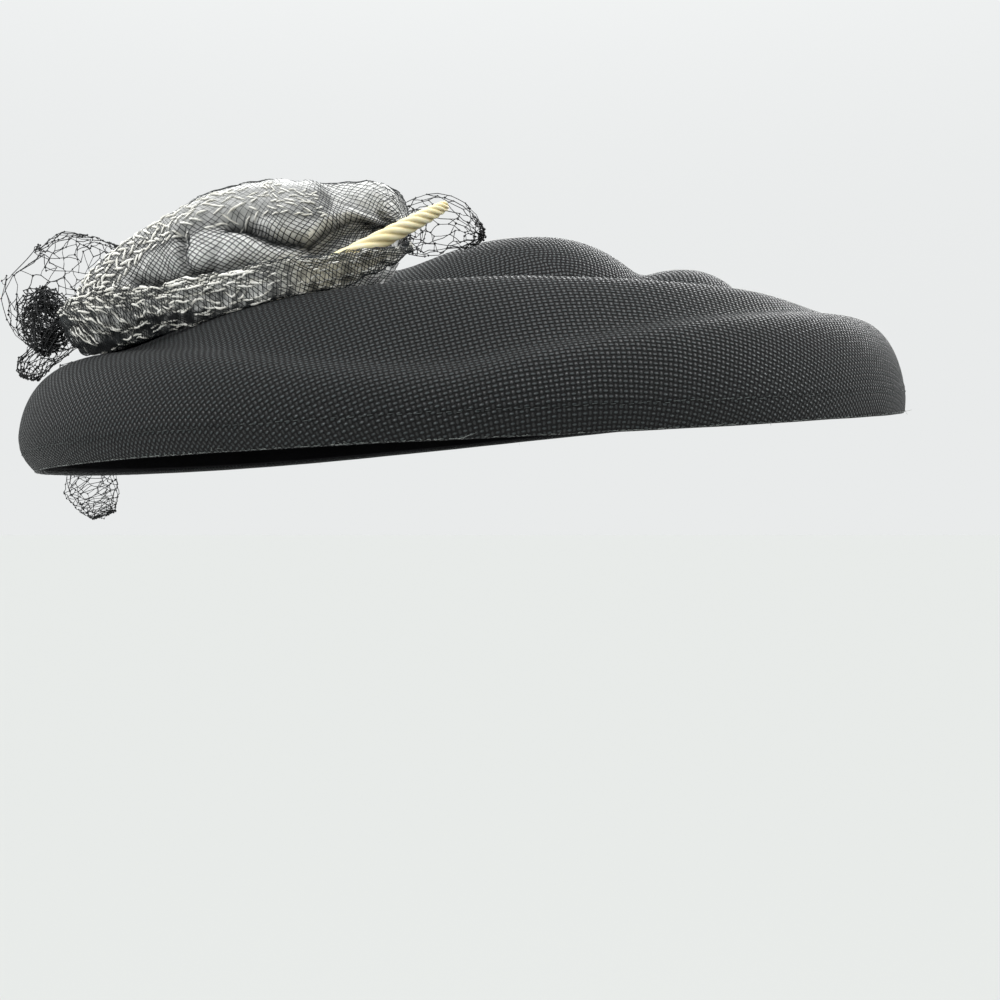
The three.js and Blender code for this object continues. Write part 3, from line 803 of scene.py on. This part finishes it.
def toLine(x, z, line):
    best = np.full(np.shape(x), 1e9)
    for (ax, az), (bx, bz) in zip(line, line[1:]):
        span = (bx - ax) ** 2 + (bz - az) ** 2
        s = np.clip(((x - ax) * (bx - ax) + (z - az) * (bz - az)) / span, 0, 1)
        best = np.minimum(best, np.hypot(x - ax - s * (bx - ax), z - az - s * (bz - az)))
    return best


def puffPress(point, degrees):
    # how far the front is pressed in, in mm, and the painted shade in the fold, 0 to 1
    front = ease(-np.sin(np.radians(degrees)) * 2.2)
    x, z = point[..., 0], point[..., 2]
    press, shade = 0, 0
    for fold in puff["folds"]:
        near = np.exp(-((toLine(x, z, fold["line"]) / fold["wide"]) ** 2))
        press = press + fold["deep"] * near
        shade = shade + near * fold.get("shade", min(fold["deep"] / 6, 1))
    for swell in puff["swells"]:
        press = press - swell["deep"] * np.exp(-((toLine(x, z, swell["line"]) / swell["wide"]) ** 2))
    return press * front, np.clip(shade * front, 0, 1)


def crumple(point, seed, size, scale):
    # a smooth random field built from a few waves, for cloth that doesn't lie flat
    local = np.random.default_rng(seed)
    total = 0
    for _ in range(14):
        wave = local.normal(0, 1, 3)
        wave *= local.uniform(0.6, 1.8) / scale / np.linalg.norm(wave)
        total = total + np.sin(point @ wave * 2 * math.pi + local.uniform(0, 6.28))
    return size * total / 3.7


def puffPoint(t, degrees, lift=0.0):
    t, degrees = np.broadcast_arrays(np.asarray(t, float), np.asarray(degrees, float))
    rough = loftPoint(puff["rows"], t, degrees)
    press, shade = puffPress(rough, degrees)
    gathers = puff["gather"] * np.sin(np.radians(degrees) * puff["gathers"] + 3 * np.sin(t * 9))
    gathers = gathers * np.abs(2 * t - 1) ** 3
    out = -press + gathers + crumple(rough, 3, *puff["crumple"]) + lift
    return loftPoint(puff["rows"], t, degrees, out=out), shade


def puffEdge(t):
    # the angle around the puff at which its top turns out of sight from in front
    _, _, _, halfRise, halfDeep = loftFrame(puff["rows"], t, (0, 0, 1))
    return -np.degrees(np.arctan2(halfDeep * puff["sight"], halfRise))


def puffPiece():
    columns, rows = 230, 150
    degrees = np.linspace(-180, 180, columns, endpoint=False)
    t = np.linspace(0.012, 0.988, rows)
    deg, tt = np.meshgrid(degrees, t)
    point, shade = puffPoint(tt, deg, lift=puff["ground"])
    toRoll = toLine(point[..., 0], point[..., 2] - puff["sight"] * (point[..., 1] + puff["plane"]),
                    puffSlubs["line"])
    inRoll = 1 - ease((toRoll - puffSlubs["reach"] * 0.8) / (puffSlubs["reach"] * 0.4))
    # painted shade on the ground between the roll's slubs, and on the puff's top and back, where the light
    # falls full on it
    shade = np.maximum(shade, puff["rollShade"] * inRoll * (np.sin(np.radians(deg)) < 0))
    turned = ease((deg - puffEdge(tt) + puff["backFrom"]) / puff["backOver"])
    shade = np.maximum(shade, puff["backShade"] * turned)
    return meshPiece("gauzePuff", *closedForm(point), groundFinish, "gauze", ["gauze_puff"],
                     marks={"depth": markOf(shade)})


gauzePuff = puffPiece()


def puffAcross(x):
    # how far along the puff x lies, its middle and half sizes there, and how its ends close them
    shares = np.linspace(0, 1, 200)
    share = np.interp(x, alongRows(puff["rows"], shares)[:, 0], shares)
    t = np.arccos(1 - 2 * share) / math.pi
    middle, _, _, halfRise, halfDeep = loftFrame(puff["rows"], t, (0, 0, 1))
    return t, middle, halfRise, halfDeep, np.sqrt(np.clip(1 - np.abs(2 * t - 1) ** 3, 0, 1))


def puffSight(x, height):
    # the place on the puff that shows at x and at a height, seen from in front and a little below
    t, middle, halfRise, halfDeep, close = puffAcross(x)
    rise, deep = halfRise * close + 0.01, halfDeep * close * puff["sight"]
    above = height - middle[..., 2] + puff["sight"] * (middle[..., 1] + puff["plane"])
    above = above / np.hypot(rise, deep)
    return t, puffEdge(t) - np.degrees(np.arccos(np.clip(above, -1, 1))), np.abs(above)


def puffBehind(x, down):
    # the place on the puff's top and back at x and that far round from where the top turns out of sight
    t, _, halfRise, halfDeep, close = puffAcross(x)
    turn = np.degrees(down / (np.hypot(halfRise, halfDeep) / math.sqrt(2) * close + 0.5))
    return t, puffEdge(t) + turn, turn / 180


# Scrim: a dark open-woven thread grid laid crosswise over the gauze. Sizes are in mm, and thick is
# half a thread's thickness.
scrim = {
    "pitch": 1.05,
    "thick": 0.14,
    "angles": (38.0, -35.0),
    "step": 2.4,
    "above": 66.0,           # the height from which the puff's threads look finer
    "finer": 0.62,           # and the share they lose there
    "bandPitch": 0.95,
    "bandThick": 0.13,
    "bandAngles": (-42.0, 63.0),
    "low": -122,             # the left and right ends of the puff's grids
    "high": -13,
    "sightHeights": (30, 95),
    "behindReach": (-1, 92),
}


def threadGrid(low, high, angles, pitch, seed):
    # straight threads crossing a rectangle from low to high, cut into short paths of three points
    local = np.random.default_rng(seed)
    pieces = []
    corners = np.array([[u, v] for u in (low[0], high[0]) for v in (low[1], high[1])])
    for angle in angles:
        way = np.array([math.cos(math.radians(angle)), math.sin(math.radians(angle))])
        off = np.array([-way[1], way[0]])
        for shift in np.arange((corners @ off).min(), (corners @ off).max(), pitch):
            shift = shift + local.normal(0, 0.05)
            s = np.arange((corners @ way).min(), (corners @ way).max(), scrim["step"] / 2)
            sway = shift + 0.16 * np.sin(s / 7 + local.uniform(0, 6.28))
            thread = way * s[:, None] + off * sway[:, None]
            inside = ((thread > low) & (thread < high)).all(-1)
            pieces += [thread[k:k + 3] for k in range(0, len(s) - 2, 2) if inside[k] and inside[k + 2]]
    return np.array(pieces)


def scrimPiece():
    bottom, top = scrim["sightHeights"]
    flat = threadGrid((scrim["low"], bottom), (scrim["high"], top), scrim["angles"], scrim["pitch"], 7)
    t, degrees, above = puffSight(flat[..., 0], flat[..., 1])
    seen = (above < 1).sum(-1) > 1
    front = puffPoint(t[seen], degrees[seen])[0]
    finer = scrim["finer"] * ease((front[..., 2] - scrim["above"]) / 10)
    finer = finer * (1 - 0.7 * ease((front[..., 0] + 45) / 12))
    thick = [scrim["thick"] * (1 - finer)]
    near, far = scrim["behindReach"]
    flat = threadGrid((scrim["low"], near), (scrim["high"], far), scrim["angles"], scrim["pitch"], 9)
    t, degrees, round_ = puffBehind(flat[..., 0], flat[..., 1])
    seen = (round_ < 1).all(-1)
    found = [front, puffPoint(t[seen], degrees[seen])[0]]
    # and over the two blunt ends
    for end in (0, -1):
        halfRise, halfDeep = puff["rows"][end][3:5]
        flat = threadGrid((-halfDeep, -halfRise), (halfDeep, halfRise), scrim["angles"], scrim["pitch"], 8)
        across, up = flat[..., 0] / halfDeep, flat[..., 1] / halfRise
        inside = (np.hypot(across, up) < 0.9).all(-1)
        t = 0.5 - 0.5 * (1 - np.hypot(across, up)[inside] ** 2) ** (1 / 3)
        degrees = np.degrees(np.arctan2(across[inside], up[inside]))
        found.append(puffPoint(1 - t if end else t, degrees)[0])
    thick += [np.full(part.shape[:2], scrim["thick"] * 0.8) for part in found[1:]]
    points, faces = tubes(np.concatenate(found), np.concatenate(thick), sides=3)
    return meshPiece("puffScrim", points, faces, scrimFinish, "gauze")


scrimPiece()


def slubs(placeAt, centres, angles, lengths, thick, seed, lift, wave=0.0):
    # short spindle-shaped yarns laid on a piece, bowed and waved
    local = np.random.default_rng(seed)
    n = 7
    s = np.linspace(-0.5, 0.5, n)
    each = (len(centres), 1)
    bow = local.normal(0, 0.05, each) * (0.25 - s**2) * 4
    bow = bow + wave * local.normal(0, 1, each) * np.sin(s * 7 + local.uniform(0, 6, each))
    u = centres[:, :1] + lengths[:, None] * (np.cos(angles)[:, None] * s - np.sin(angles)[:, None] * bow)
    v = centres[:, 1:] + lengths[:, None] * (np.sin(angles)[:, None] * s + np.cos(angles)[:, None] * bow)
    paths = placeAt(u, v, lift[:, None] + (0.25 - s**2) * 0.6 - 0.15)
    shape = np.clip(1 - (2 * s) ** 2, 0, 1) ** 0.5 * 0.9 + 0.1
    shape[0] = shape[-1] = 0.08
    lumps = 1 + 0.16 * np.sin(np.arange(n)[None] * 1.9 + local.uniform(0, 6.28, each))
    return tubes(paths, thick[:, None] * shape[None] * lumps, sides=6, capped=True)


def puffSlubPiece():
    look, local = puffSlubs, np.random.default_rng(12)
    u, v = np.array(look["line"], float).T
    lengths = np.concatenate([[0], np.cumsum(np.hypot(np.diff(u), np.diff(v)))])
    offs = np.arange(-look["reach"], look["reach"] + 0.1, look["apart"])
    at, row = np.meshgrid(np.arange(0, lengths[-1], look["every"]), np.arange(len(offs)))
    at = (at + (row % 2) * look["every"] / 2).ravel() + local.normal(0, 0.5, at.size)
    row = row.ravel()
    off = offs[row] + local.normal(0, 0.3, len(row))
    # towards the right the roll's slubs thin out
    right = ease((at / lengths[-1] - 0.4) / 0.4)
    kept = local.uniform(0, 1, len(at)) < 1.05 - 0.2 * right
    at, row, off, right = at[kept], row[kept], off[kept], right[kept]
    centreU, centreV = np.interp(at, lengths, u), np.interp(at, lengths, v)
    way = np.arctan2(np.interp(at + 2, lengths, v) - np.interp(at - 2, lengths, v),
                     np.interp(at + 2, lengths, u) - np.interp(at - 2, lengths, u))
    centres = np.stack([centreU - np.sin(way) * off, centreV + np.cos(way) * off], -1)
    angles = way + np.radians(np.where(row % 2 == 0, look["slant"], -look["slant"])
                              + local.normal(0, 7, len(at)))
    sizes = local.uniform(*look["long"], len(at)) * (1 - 0.25 * right)
    thick = local.uniform(*look["thick"], len(at)) * (1 - 0.35 * right)
    lift = puff["slub"] + local.uniform(-0.1, 0.05, len(at))
    points, faces = slubs(lambda x, h, up: puffPoint(*puffSight(x, h)[:2], up)[0], centres, angles, sizes,
                          thick, 13, lift, wave=0.01)
    return meshPiece("puffSlubs", points, faces, slubFinish, "gauze")


puffSlubPiece()

# Gauze band: the roll's gathered lower edge, thick with slubs, over the quill's root.
band = {
    "rows": [
        (-120, -84, 43, 7, 1.8, 28), (-114, -92, 43.5, 9, 1.8, 28), (-105, -98, 45, 9.5, 1.8, 28),
        (-94, -101, 46, 8.5, 1.8, 28), (-83, -104, 46.5, 7, 1.8, 28), (-65, -110.5, 47, 7, 1.8, 28),
        (-47, -117, 48.5, 6.5, 1.7, 26), (-30, -119, 50, 5, 1.6, 24), (-18, -116, 53, 3, 1.5, 20),
        (-8, -112, 57.5, 1.2, 1.4, 20),
    ],
    "long": 124.0,
    "girth": 5.0,
    "quilled": 0.64,      # from this share on it is drawn over the quill's root, and shows tan
    "tan": 0.6,
    "ripple": 0.45,       # mm
    "ripples": 2.1,       # radians per mm of height
    "crumple": (0.55, 6.0),
    "ground": -0.75,      # mm
}
# How dark the band's ground shows, as painted shade: everywhere, in the holes between slubs, over the
# quill, in the lower left corner and in the hem, where the band's lower edge lies in shade.
bandShade = {"all": 0.13, "holes": 0.6, "over": 0.25, "corner": 0.25, "hem": 0.6}
# The hem widens round bulgeAt and fades from fadeFrom on; the corner is cut off by a slope.
bandHem = {"bulgeAt": 0.42, "bulgeWide": 0.16, "soft": 0.12, "fadeFrom": 0.6, "fadeSteep": 5}
bandCorner = {"slope": 0.22, "start": 0.075, "steep": 14}


def bandPoint(t, degrees, lift=0.0):
    t, degrees = np.broadcast_arrays(np.asarray(t, float), np.asarray(degrees, float))
    rough = loftPoint(band["rows"], t, degrees, blunt=10, boxy=2.6)
    ripple = band["ripple"] * np.sin(rough[..., 2] * band["ripples"] + 2.5 * np.sin(rough[..., 0] / 9))
    ripple = ripple + crumple(rough, 21, *band["crumple"])
    return loftPoint(band["rows"], t, degrees, blunt=10, boxy=2.6, out=ripple * 0.7 + lift)


def bandAt(along, down, lift=0.0):
    # a place on the unrolled band, in mm from its left end and from its upper edge
    t = np.arccos(np.clip(1 - 2 * along / band["long"], -0.995, 0.995)) / math.pi
    return bandPoint(t, np.degrees(down / band["girth"]), lift)


def bandEdges(low, share, hemAt, bulge, fade):
    # how deep a place lies in the painted shade of the lower hem and in the darker lower left corner,
    # low being 0 at the band's top and share 0 at its left end
    rise = bulge * np.exp(-(((share - bandHem["bulgeAt"]) / bandHem["bulgeWide"]) ** 2))
    hem = ease((low - hemAt + rise) / bandHem["soft"])
    hem = hem * (1 - fade * ease((share - bandHem["fadeFrom"]) * bandHem["fadeSteep"]))
    return hem, ease((low * bandCorner["slope"] + bandCorner["start"] - share) * bandCorner["steep"])


def bandPiece():
    columns, rows = 70, 260
    deg, tt = np.meshgrid(np.linspace(-180, 180, columns, endpoint=False), np.linspace(0.01, 0.99, rows))
    point = bandPoint(tt, deg, band["ground"])
    share = 0.5 - 0.5 * np.cos(math.pi * tt)
    holes = ease(0.5 + crumple(point, 31, 0.9, 3.2))
    over = ease((share - band["quilled"]) * 9) * (1 - ease((share - 0.9) * 14))
    hem, corner = bandEdges(-deg / 180, share, 0.62, 0.14, 0.5)
    # painted shade on the ground: in the holes, along the hem and in the corner, less over the quill
    depth = bandShade["all"] + bandShade["holes"] * holes - bandShade["over"] * over
    depth = np.clip(depth + bandShade["corner"] * corner + bandShade["hem"] * hem, 0, 1)
    return meshPiece("gauzeBand", *closedForm(point), groundFinish, "gauze", ["gauze_band"],
                     marks={"depth": markOf(depth), "tan": markOf(band["tan"] * over)})


gauzeBand = bandPiece()

bandSlubs = {
    "apart": 1.0,           # mm from row to row
    "every": 3.5,           # mm from slub to slub in a row
    "long": (3.2, 5.6),
    "thick": (0.28, 0.44),
    "slant": 6.5,           # degrees
    "lean": 30.0,           # degrees, downward at the left end
}


def bandSlubPiece():
    look, local = bandSlubs, np.random.default_rng(17)
    across = math.pi * band["girth"]
    at, down = np.meshgrid(np.arange(0.075 * band["long"], 0.985 * band["long"], look["every"]),
                           np.arange(0.8, across * 0.97, look["apart"]))
    row = np.round(down / look["apart"]).ravel()
    at = (at.ravel() + (row % 3) * look["every"] / 3 + local.normal(0, 0.9, at.size)).clip(0.5, None)
    down = down.ravel() + local.normal(0, 0.35, len(row))
    share = at / band["long"]
    # the hem and the corner have fewer slubs
    hem, corner = bandEdges(down / across, share, 0.6, 0.12, 0.55)
    kept = local.uniform(0, 1, len(at)) < 0.96 * (1 - 0.7 * hem) * (1 - 0.3 * corner)
    at, down, share = at[kept], down[kept], share[kept]
    n = len(at)
    small = np.where(share > band["quilled"], 0.62, 1)
    # toward the left end the yarns lean down and outward
    lean = look["lean"] * ease((0.36 - share) * 4) * ease(down / across * 2.2)
    angles = np.radians(local.normal(0, look["slant"], n) - lean)
    sizes = local.uniform(*look["long"], n) * small
    thick = local.uniform(*look["thick"], n) * small
    lift = local.uniform(-0.4, -0.1, n)
    points, faces = slubs(bandAt, np.stack([at, -down], -1), angles, sizes, thick, 18, lift, wave=0.035)
    return meshPiece("bandSlubs", points, faces, slubFinish, "gauze")


bandSlubYarns = bandSlubPiece()


def bandScrimPiece():
    across = math.pi * band["girth"]
    flat = threadGrid((1, -across * 0.99), (band["long"] - 1, across * 0.1), scrim["bandAngles"],
                      scrim["bandPitch"], 23)
    points, faces = tubes(bandAt(flat[..., 0], flat[..., 1]), scrim["bandThick"], sides=3)
    return meshPiece("bandScrim", points, faces, scrimFinish, "gauze")


bandScrim = bandScrimPiece()

# Quill: a tapered horn rod twisted like rope, with a blunt point.
quill = {
    "rows": [
        (-49, -111.6, 46.7, 1.9, 1.9, 0), (-36, -107.4, 53, 2.4, 2.4, 0), (-16, -100, 63, 2.4, 2.4, 0),
        (-4, -96, 69.1, 2, 2, 0), (2.5, -93.9, 72.4, 1.3, 1.3, 0),
    ],
    "long": 61.0,
    "lead": 20.0,         # mm for one turn
    "strands": 5,
    "groove": 0.75,       # mm deep
}


def quillPiece():
    columns, rows = 48, 300
    deg, tt = np.meshgrid(np.linspace(-180, 180, columns, endpoint=False), np.linspace(0.004, 0.996, rows))
    share = 0.5 - 0.5 * np.cos(math.pi * tt)
    turn = np.radians(deg) + 2 * math.pi * share * quill["long"] / quill["lead"]
    strand = np.abs(np.cos(turn * quill["strands"] / 2)) ** 0.7
    cut = quill["groove"] * (1 - strand) * np.clip(1.25 - share * 0.5, 0, 1)
    point = loftPoint(quill["rows"], tt, deg, blunt=8, boxy=2, out=0.3 - cut)
    # how far into a groove a place lies, for the painted shade there
    groove = np.clip((1 - strand) * 1.3, 0, 1) ** 1.5
    return meshPiece("quillHorn", *closedForm(point), hornFinish, "horn", ["quill"],
                     marks={"groove": markOf(groove)})


quillPiece()

# Veiling: black six-sided net with a knot at each corner, gathered and bunched. Sizes are in mm, and
# thread and knot are half thicknesses. Each row of a piece's nets is one net laid on the piece's
# form: its cells around and along, the form's scale, how far its corners stray, and its span.
veil = {
    "thread": 0.15,
    "knot": 0.42,
    "slack": 0.06,            # how far a side bows, as a share of its length
    "floor": 0.6,             # mm clear of the straw
    "zigzag": 0.17,           # of a row's height
    "uneven": (0.16, 0.13),   # of a cell, around and along
    "sides": (0.25, 14),      # mm, the shortest and the longest side kept
}
netColumns = ("around", "along", "seed", "scale", "stray", "start", "end")


def honeycomb(columns, rows):
    # corners and sides of a six-sided net, u round 0 to 1 and v along 0 to 1; a zigzag per row
    def corner(r, c, part):
        return 2 * (r * columns + c % columns) + part

    corners, sides = [], []
    for r in range(rows + 1):
        for c in range(columns):
            for part, rise in enumerate((-veil["zigzag"], veil["zigzag"])):
                corners.append(((c + 0.5 * (r % 2) + 0.5 * part) / columns, (r + rise) / rows))
            sides += [(corner(r, c, 0), corner(r, c, 1)), (corner(r, c, 1), corner(r, c + 1, 0))]
            if r < rows:
                sides.append((corner(r, c, 1), corner(r + 1, c + r % 2, 0)))
    return np.array(corners), np.array(sides)


def netOver(pointAt, row, thread=veil["thread"]):
    net = dict(zip(netColumns, row))
    local = np.random.default_rng(net["seed"])
    corners, sides = honeycomb(net["around"], net["along"])
    cell = [veil["uneven"][0] / net["around"], veil["uneven"][1] / net["along"]]
    uv = corners + local.normal(0, 1, corners.shape) * cell
    uv[:, 1] = net["start"] + np.clip(uv[:, 1], 0, 1) * (net["end"] - net["start"])
    place = pointAt(uv[:, 1], uv[:, 0] * 360, net["scale"])
    place = place + local.normal(0, 1, place.shape) * net["stray"]
    a, b = place[sides[:, 0]], place[sides[:, 1]]
    length = np.linalg.norm(b - a, axis=-1)
    shortest, longest = veil["sides"]
    good = (length > shortest) & (length < longest)
    a, b, length = a[good], b[good], length[good]
    bow = local.normal(0, 1, a.shape) * (length * veil["slack"])[:, None]
    paths = np.stack([a, (a + b) / 2 + bow, b], 1)
    used = np.unique(sides[good])
    return joined(tubes(paths, thread * local.uniform(0.8, 1.2, (len(a), 1)), sides=3),
                  knots(place[used], veil["knot"] * local.uniform(0.6, 1.25, len(used))))


def netForm(piece):
    # a place on the piece's outer form, or on a smaller one inside it
    def pointAt(t, degrees, scale=1.0):
        rows = np.array(piece["rows"], float)
        rows[:, 3:5] *= scale
        t, degrees = np.broadcast_arrays(np.asarray(t, float), np.asarray(degrees, float))
        return loftPoint(rows, t, degrees, up=piece["up"], blunt=piece["blunt"], boxy=piece["boxy"],
                         floor=veil["floor"])

    return pointAt


def veilPiece(name, node, piece, *more):
    nets = [netOver(netForm(piece), row) for row in piece["nets"]]
    points, faces = joined(*more, *nets)
    return meshPiece(name, points, faces, veilFinish, "veiling", [node])


pouf = {
    "rows": [
        (-147.5, -57.5, 34, 3.8, 4.5, 0), (-145.3, -58, 38, 4.5, 6, 0), (-140.2, -56.5, 44, 4, 8, 0),
        (-141, -50.5, 53, 14.5, 13, 0), (-138.9, -45.4, 61.5, 21.8, 15.5, 0), (-130.5, -42, 69, 21.5, 15, 0),
        (-125.2, -40.5, 82.5, 18, 11, 0),
    ],
    "up": (1, 0, 0),
    "blunt": 4,
    "boxy": 2,
    "nets": [(20, 12, 51, 1.0, 0.25, 0.02, 0.985)],
}
core = {
    "middle": (-143, -50, 54),
    "half": (9.5, 9.5, 11),
    "nets": [
        (13, 9, 52, 1.0, 0.7, 0.04, 0.96), (13, 9, 53, 0.84, 0.7, 0.04, 0.96),
        (13, 9, 54, 0.66, 0.7, 0.04, 0.96), (13, 9, 55, 0.46, 0.7, 0.04, 0.96),
    ],
    "thicker": 1.2,
}


def corePoint(v, degrees, scale):
    # a crushed ball of net where the veil is tied
    around, height = np.radians(degrees), -np.cos(math.pi * np.asarray(v))
    wide = np.sqrt(np.clip(1 - height**2, 0, 1))
    shape = np.stack([wide * np.cos(around), wide * np.sin(around), height], -1)
    point = np.array(core["middle"], float) + shape * np.array(core["half"]) * scale
    point[..., 2] = np.maximum(point[..., 2], hatTop(point[..., 0], point[..., 1]) + veil["floor"])
    return point


def poufPiece():
    # one airy net, and the crushed core where it is tied
    nets = [netOver(netForm(pouf), row) for row in pouf["nets"]]
    nets += [netOver(corePoint, row, veil["thread"] * core["thicker"]) for row in core["nets"]]
    points, faces = joined(*nets)
    return meshPiece("veilPouf", points, faces, veilFinish, "veiling", ["veil_pouf"])


veilPouf = poufPiece()

# The loop is airy in the middle, gathered to a dark edge at its far end and to a neck at the near one.
loop = {
    "rows": [
        (-15.5, -39, 77.5, 8.5, 7, 0), (-10, -44, 77.5, 10.5, 9, 0), (-1, -50, 77.2, 9.7, 9.5, 0),
        (5.5, -52, 74.2, 7.7, 8, 0), (12.5, -53, 71, 3.5, 6, 0),
    ],
    "up": (0, 0, 1),
    "blunt": 3,
    "boxy": 2,
    "nets": [
        (12, 6, 61, 1.0, 0.25, 0.02, 0.99), (12, 3, 62, 0.95, 0.4, 0.74, 0.98),
        (8, 3, 64, 0.94, 0.5, 0.03, 0.25),
    ],
    "tied": (-25, -48, 72),
    "tiedSpread": (1.0, 0.7, 1.3),
    "strands": 34,
    "seed": 66,
}


def loopNeck():
    # the threads of the net's mouth, drawn together where it comes out from under the puff
    local = np.random.default_rng(loop["seed"])
    turns = np.linspace(0, 360, loop["strands"], endpoint=False) + local.uniform(-6, 6, loop["strands"])
    mouth = netForm(loop)(np.full(len(turns), 0.05), turns)
    tied = np.array(loop["tied"], float) + local.normal(0, 1, (len(turns), 3)) * loop["tiedSpread"]
    middle = (mouth + tied) / 2 + (mouth.mean(0) - mouth) * 0.12 + local.normal(0, 1, mouth.shape) * 0.3
    radii = veil["thread"] * local.uniform(0.8, 1.2, (len(turns), 1))
    return tubes(np.stack([mouth, middle, tied], 1), radii, sides=3)


veilLoop = veilPiece("veilLoop", "veil_loop", loop, loopNeck())

tail = {
    "rows": [
        (-138, -26, 40, 2.6, 12, 0), (-144, -9, 39.3, 2.6, 13, -12), (-151, 9, 36.2, 2.6, 13, -28),
        (-160.5, 26, 29, 2.6, 13, -38), (-169.5, 39, 13.5, 2.8, 13, -48), (-173, 46, -1, 3.2, 13, -52),
        (-172, 50, -11, 3.2, 10, -54), (-170.5, 52, -19, 2.4, 6, -54),
    ],
    "up": (0, 0, 1),
    "blunt": 8,
    "boxy": 2.4,
    "nets": [(9, 24, 71, 1.0, 0.3, 0.02, 0.99), (7, 20, 72, 0.8, 0.5, 0.03, 0.98)],
}

veilTail = veilPiece("veilTail", "veil_tail", tail)

# Studio: a pale floor well under the hat, which is held up, and soft light from above and in front.
studio = {
    "floorDrop": 2.8,
    "floorSize": 160.0,
    "camera": (0.013, -0.404, -0.0227),
    "lens": 36.0,
    "horizon": 0.83,        # how bright the room is behind the hat, low down
    "overhead": 2.4,        # and straight above
    "front": 0.76,          # the share of it that is left in front of the hat
}
lightColumns = ("name", "at", "aim", "size", "power")
lights = [
    ("keyLight", (0.45, 1.3, 0.8), (0, 0, 0.03), (1.4, 0.7), 19.0),
    ("frontLight", (-0.7, -0.55, 0.8), (-0.06, -0.08, 0.06), (0.8, 0.8), 10.0),
    ("sideLight", (0.85, 0.1, 0.65), (0.1, -0.03, 0.02), (0.6, 0.6), 4.5),
]


def softLight(row):
    light = dict(zip(lightColumns, row))
    data = bpy.data.lights.new(light["name"], "AREA")
    data.shape = "RECTANGLE"
    data.size, data.size_y = light["size"]
    data.energy = light["power"]
    lamp = putIn(light["name"], data)
    lamp.location = light["at"]
    way = np.array(light["aim"], float) - np.array(light["at"], float)
    lamp.rotation_mode = "QUATERNION"
    lamp.rotation_quaternion = Vector(way).to_track_quat("-Z", "Y")


def studioSet():
    mesh = bpy.data.meshes.new("studioFloor")
    corner = studio["floorSize"] / 2
    mesh.from_pydata([(-corner, -corner, 0), (corner, -corner, 0), (corner, corner, 0), (-corner, corner, 0)],
                     [], [(0, 1, 2, 3)])
    floor = putIn("studioFloor", mesh)
    floor.location = (0, 0, cadLow[2] - studio["floorDrop"])
    paper, _, _ = newMaterial("studioPaper", Roughness=0.95, Specular_IOR_Level=0.1,
                              Base_Color=linear("#D9DAD8"))
    mesh.materials.append(paper)
    for row in lights:
        softLight(row)
    world = bpy.data.worlds.new("studioWorld")
    bpy.context.scene.world = world
    world.use_nodes = True
    room = world.node_tree
    way = addNode(room, "SeparateXYZ", links={"Vector": addNode(room, "TexCoord").outputs["Generated"]})
    climb = addNode(room, "Math", {"operation": "POWER", "use_clamp": True}, {0: way.outputs["Z"]},
                    in1=4.0).outputs[0]
    upward = addNode(room, "MapRange", links={"Value": climb}, From_Min=0.0, From_Max=1.0,
                     To_Min=studio["horizon"], To_Max=studio["overhead"]).outputs[0]
    behind = addNode(room, "MapRange", {"interpolation_type": "SMOOTHSTEP"}, {"Value": way.outputs["Y"]},
                     From_Min=-0.5, From_Max=0.6, To_Min=studio["front"], To_Max=1.0).outputs[0]
    light = addNode(room, "Math", {"operation": "MULTIPLY"}, {0: upward, 1: behind}).outputs[0]
    sky = room.nodes["Background"]
    sky.inputs["Color"].default_value = linear("#FDFFFF")
    room.links.new(light, sky.inputs["Strength"])
    bpy.context.scene.view_settings.view_transform = "Standard"
    camera = bpy.data.cameras.new("studioCamera")
    camera.lens = studio["lens"]
    camera.sensor_width = 36.0
    camera.clip_start = 0.02
    camera.clip_end = 200
    holder = putIn("studioCamera", camera)
    holder.location = studio["camera"]
    holder.rotation_euler = (math.pi / 2, 0, 0)
    bpy.context.scene.camera = holder


studioSet()
print("studio set")
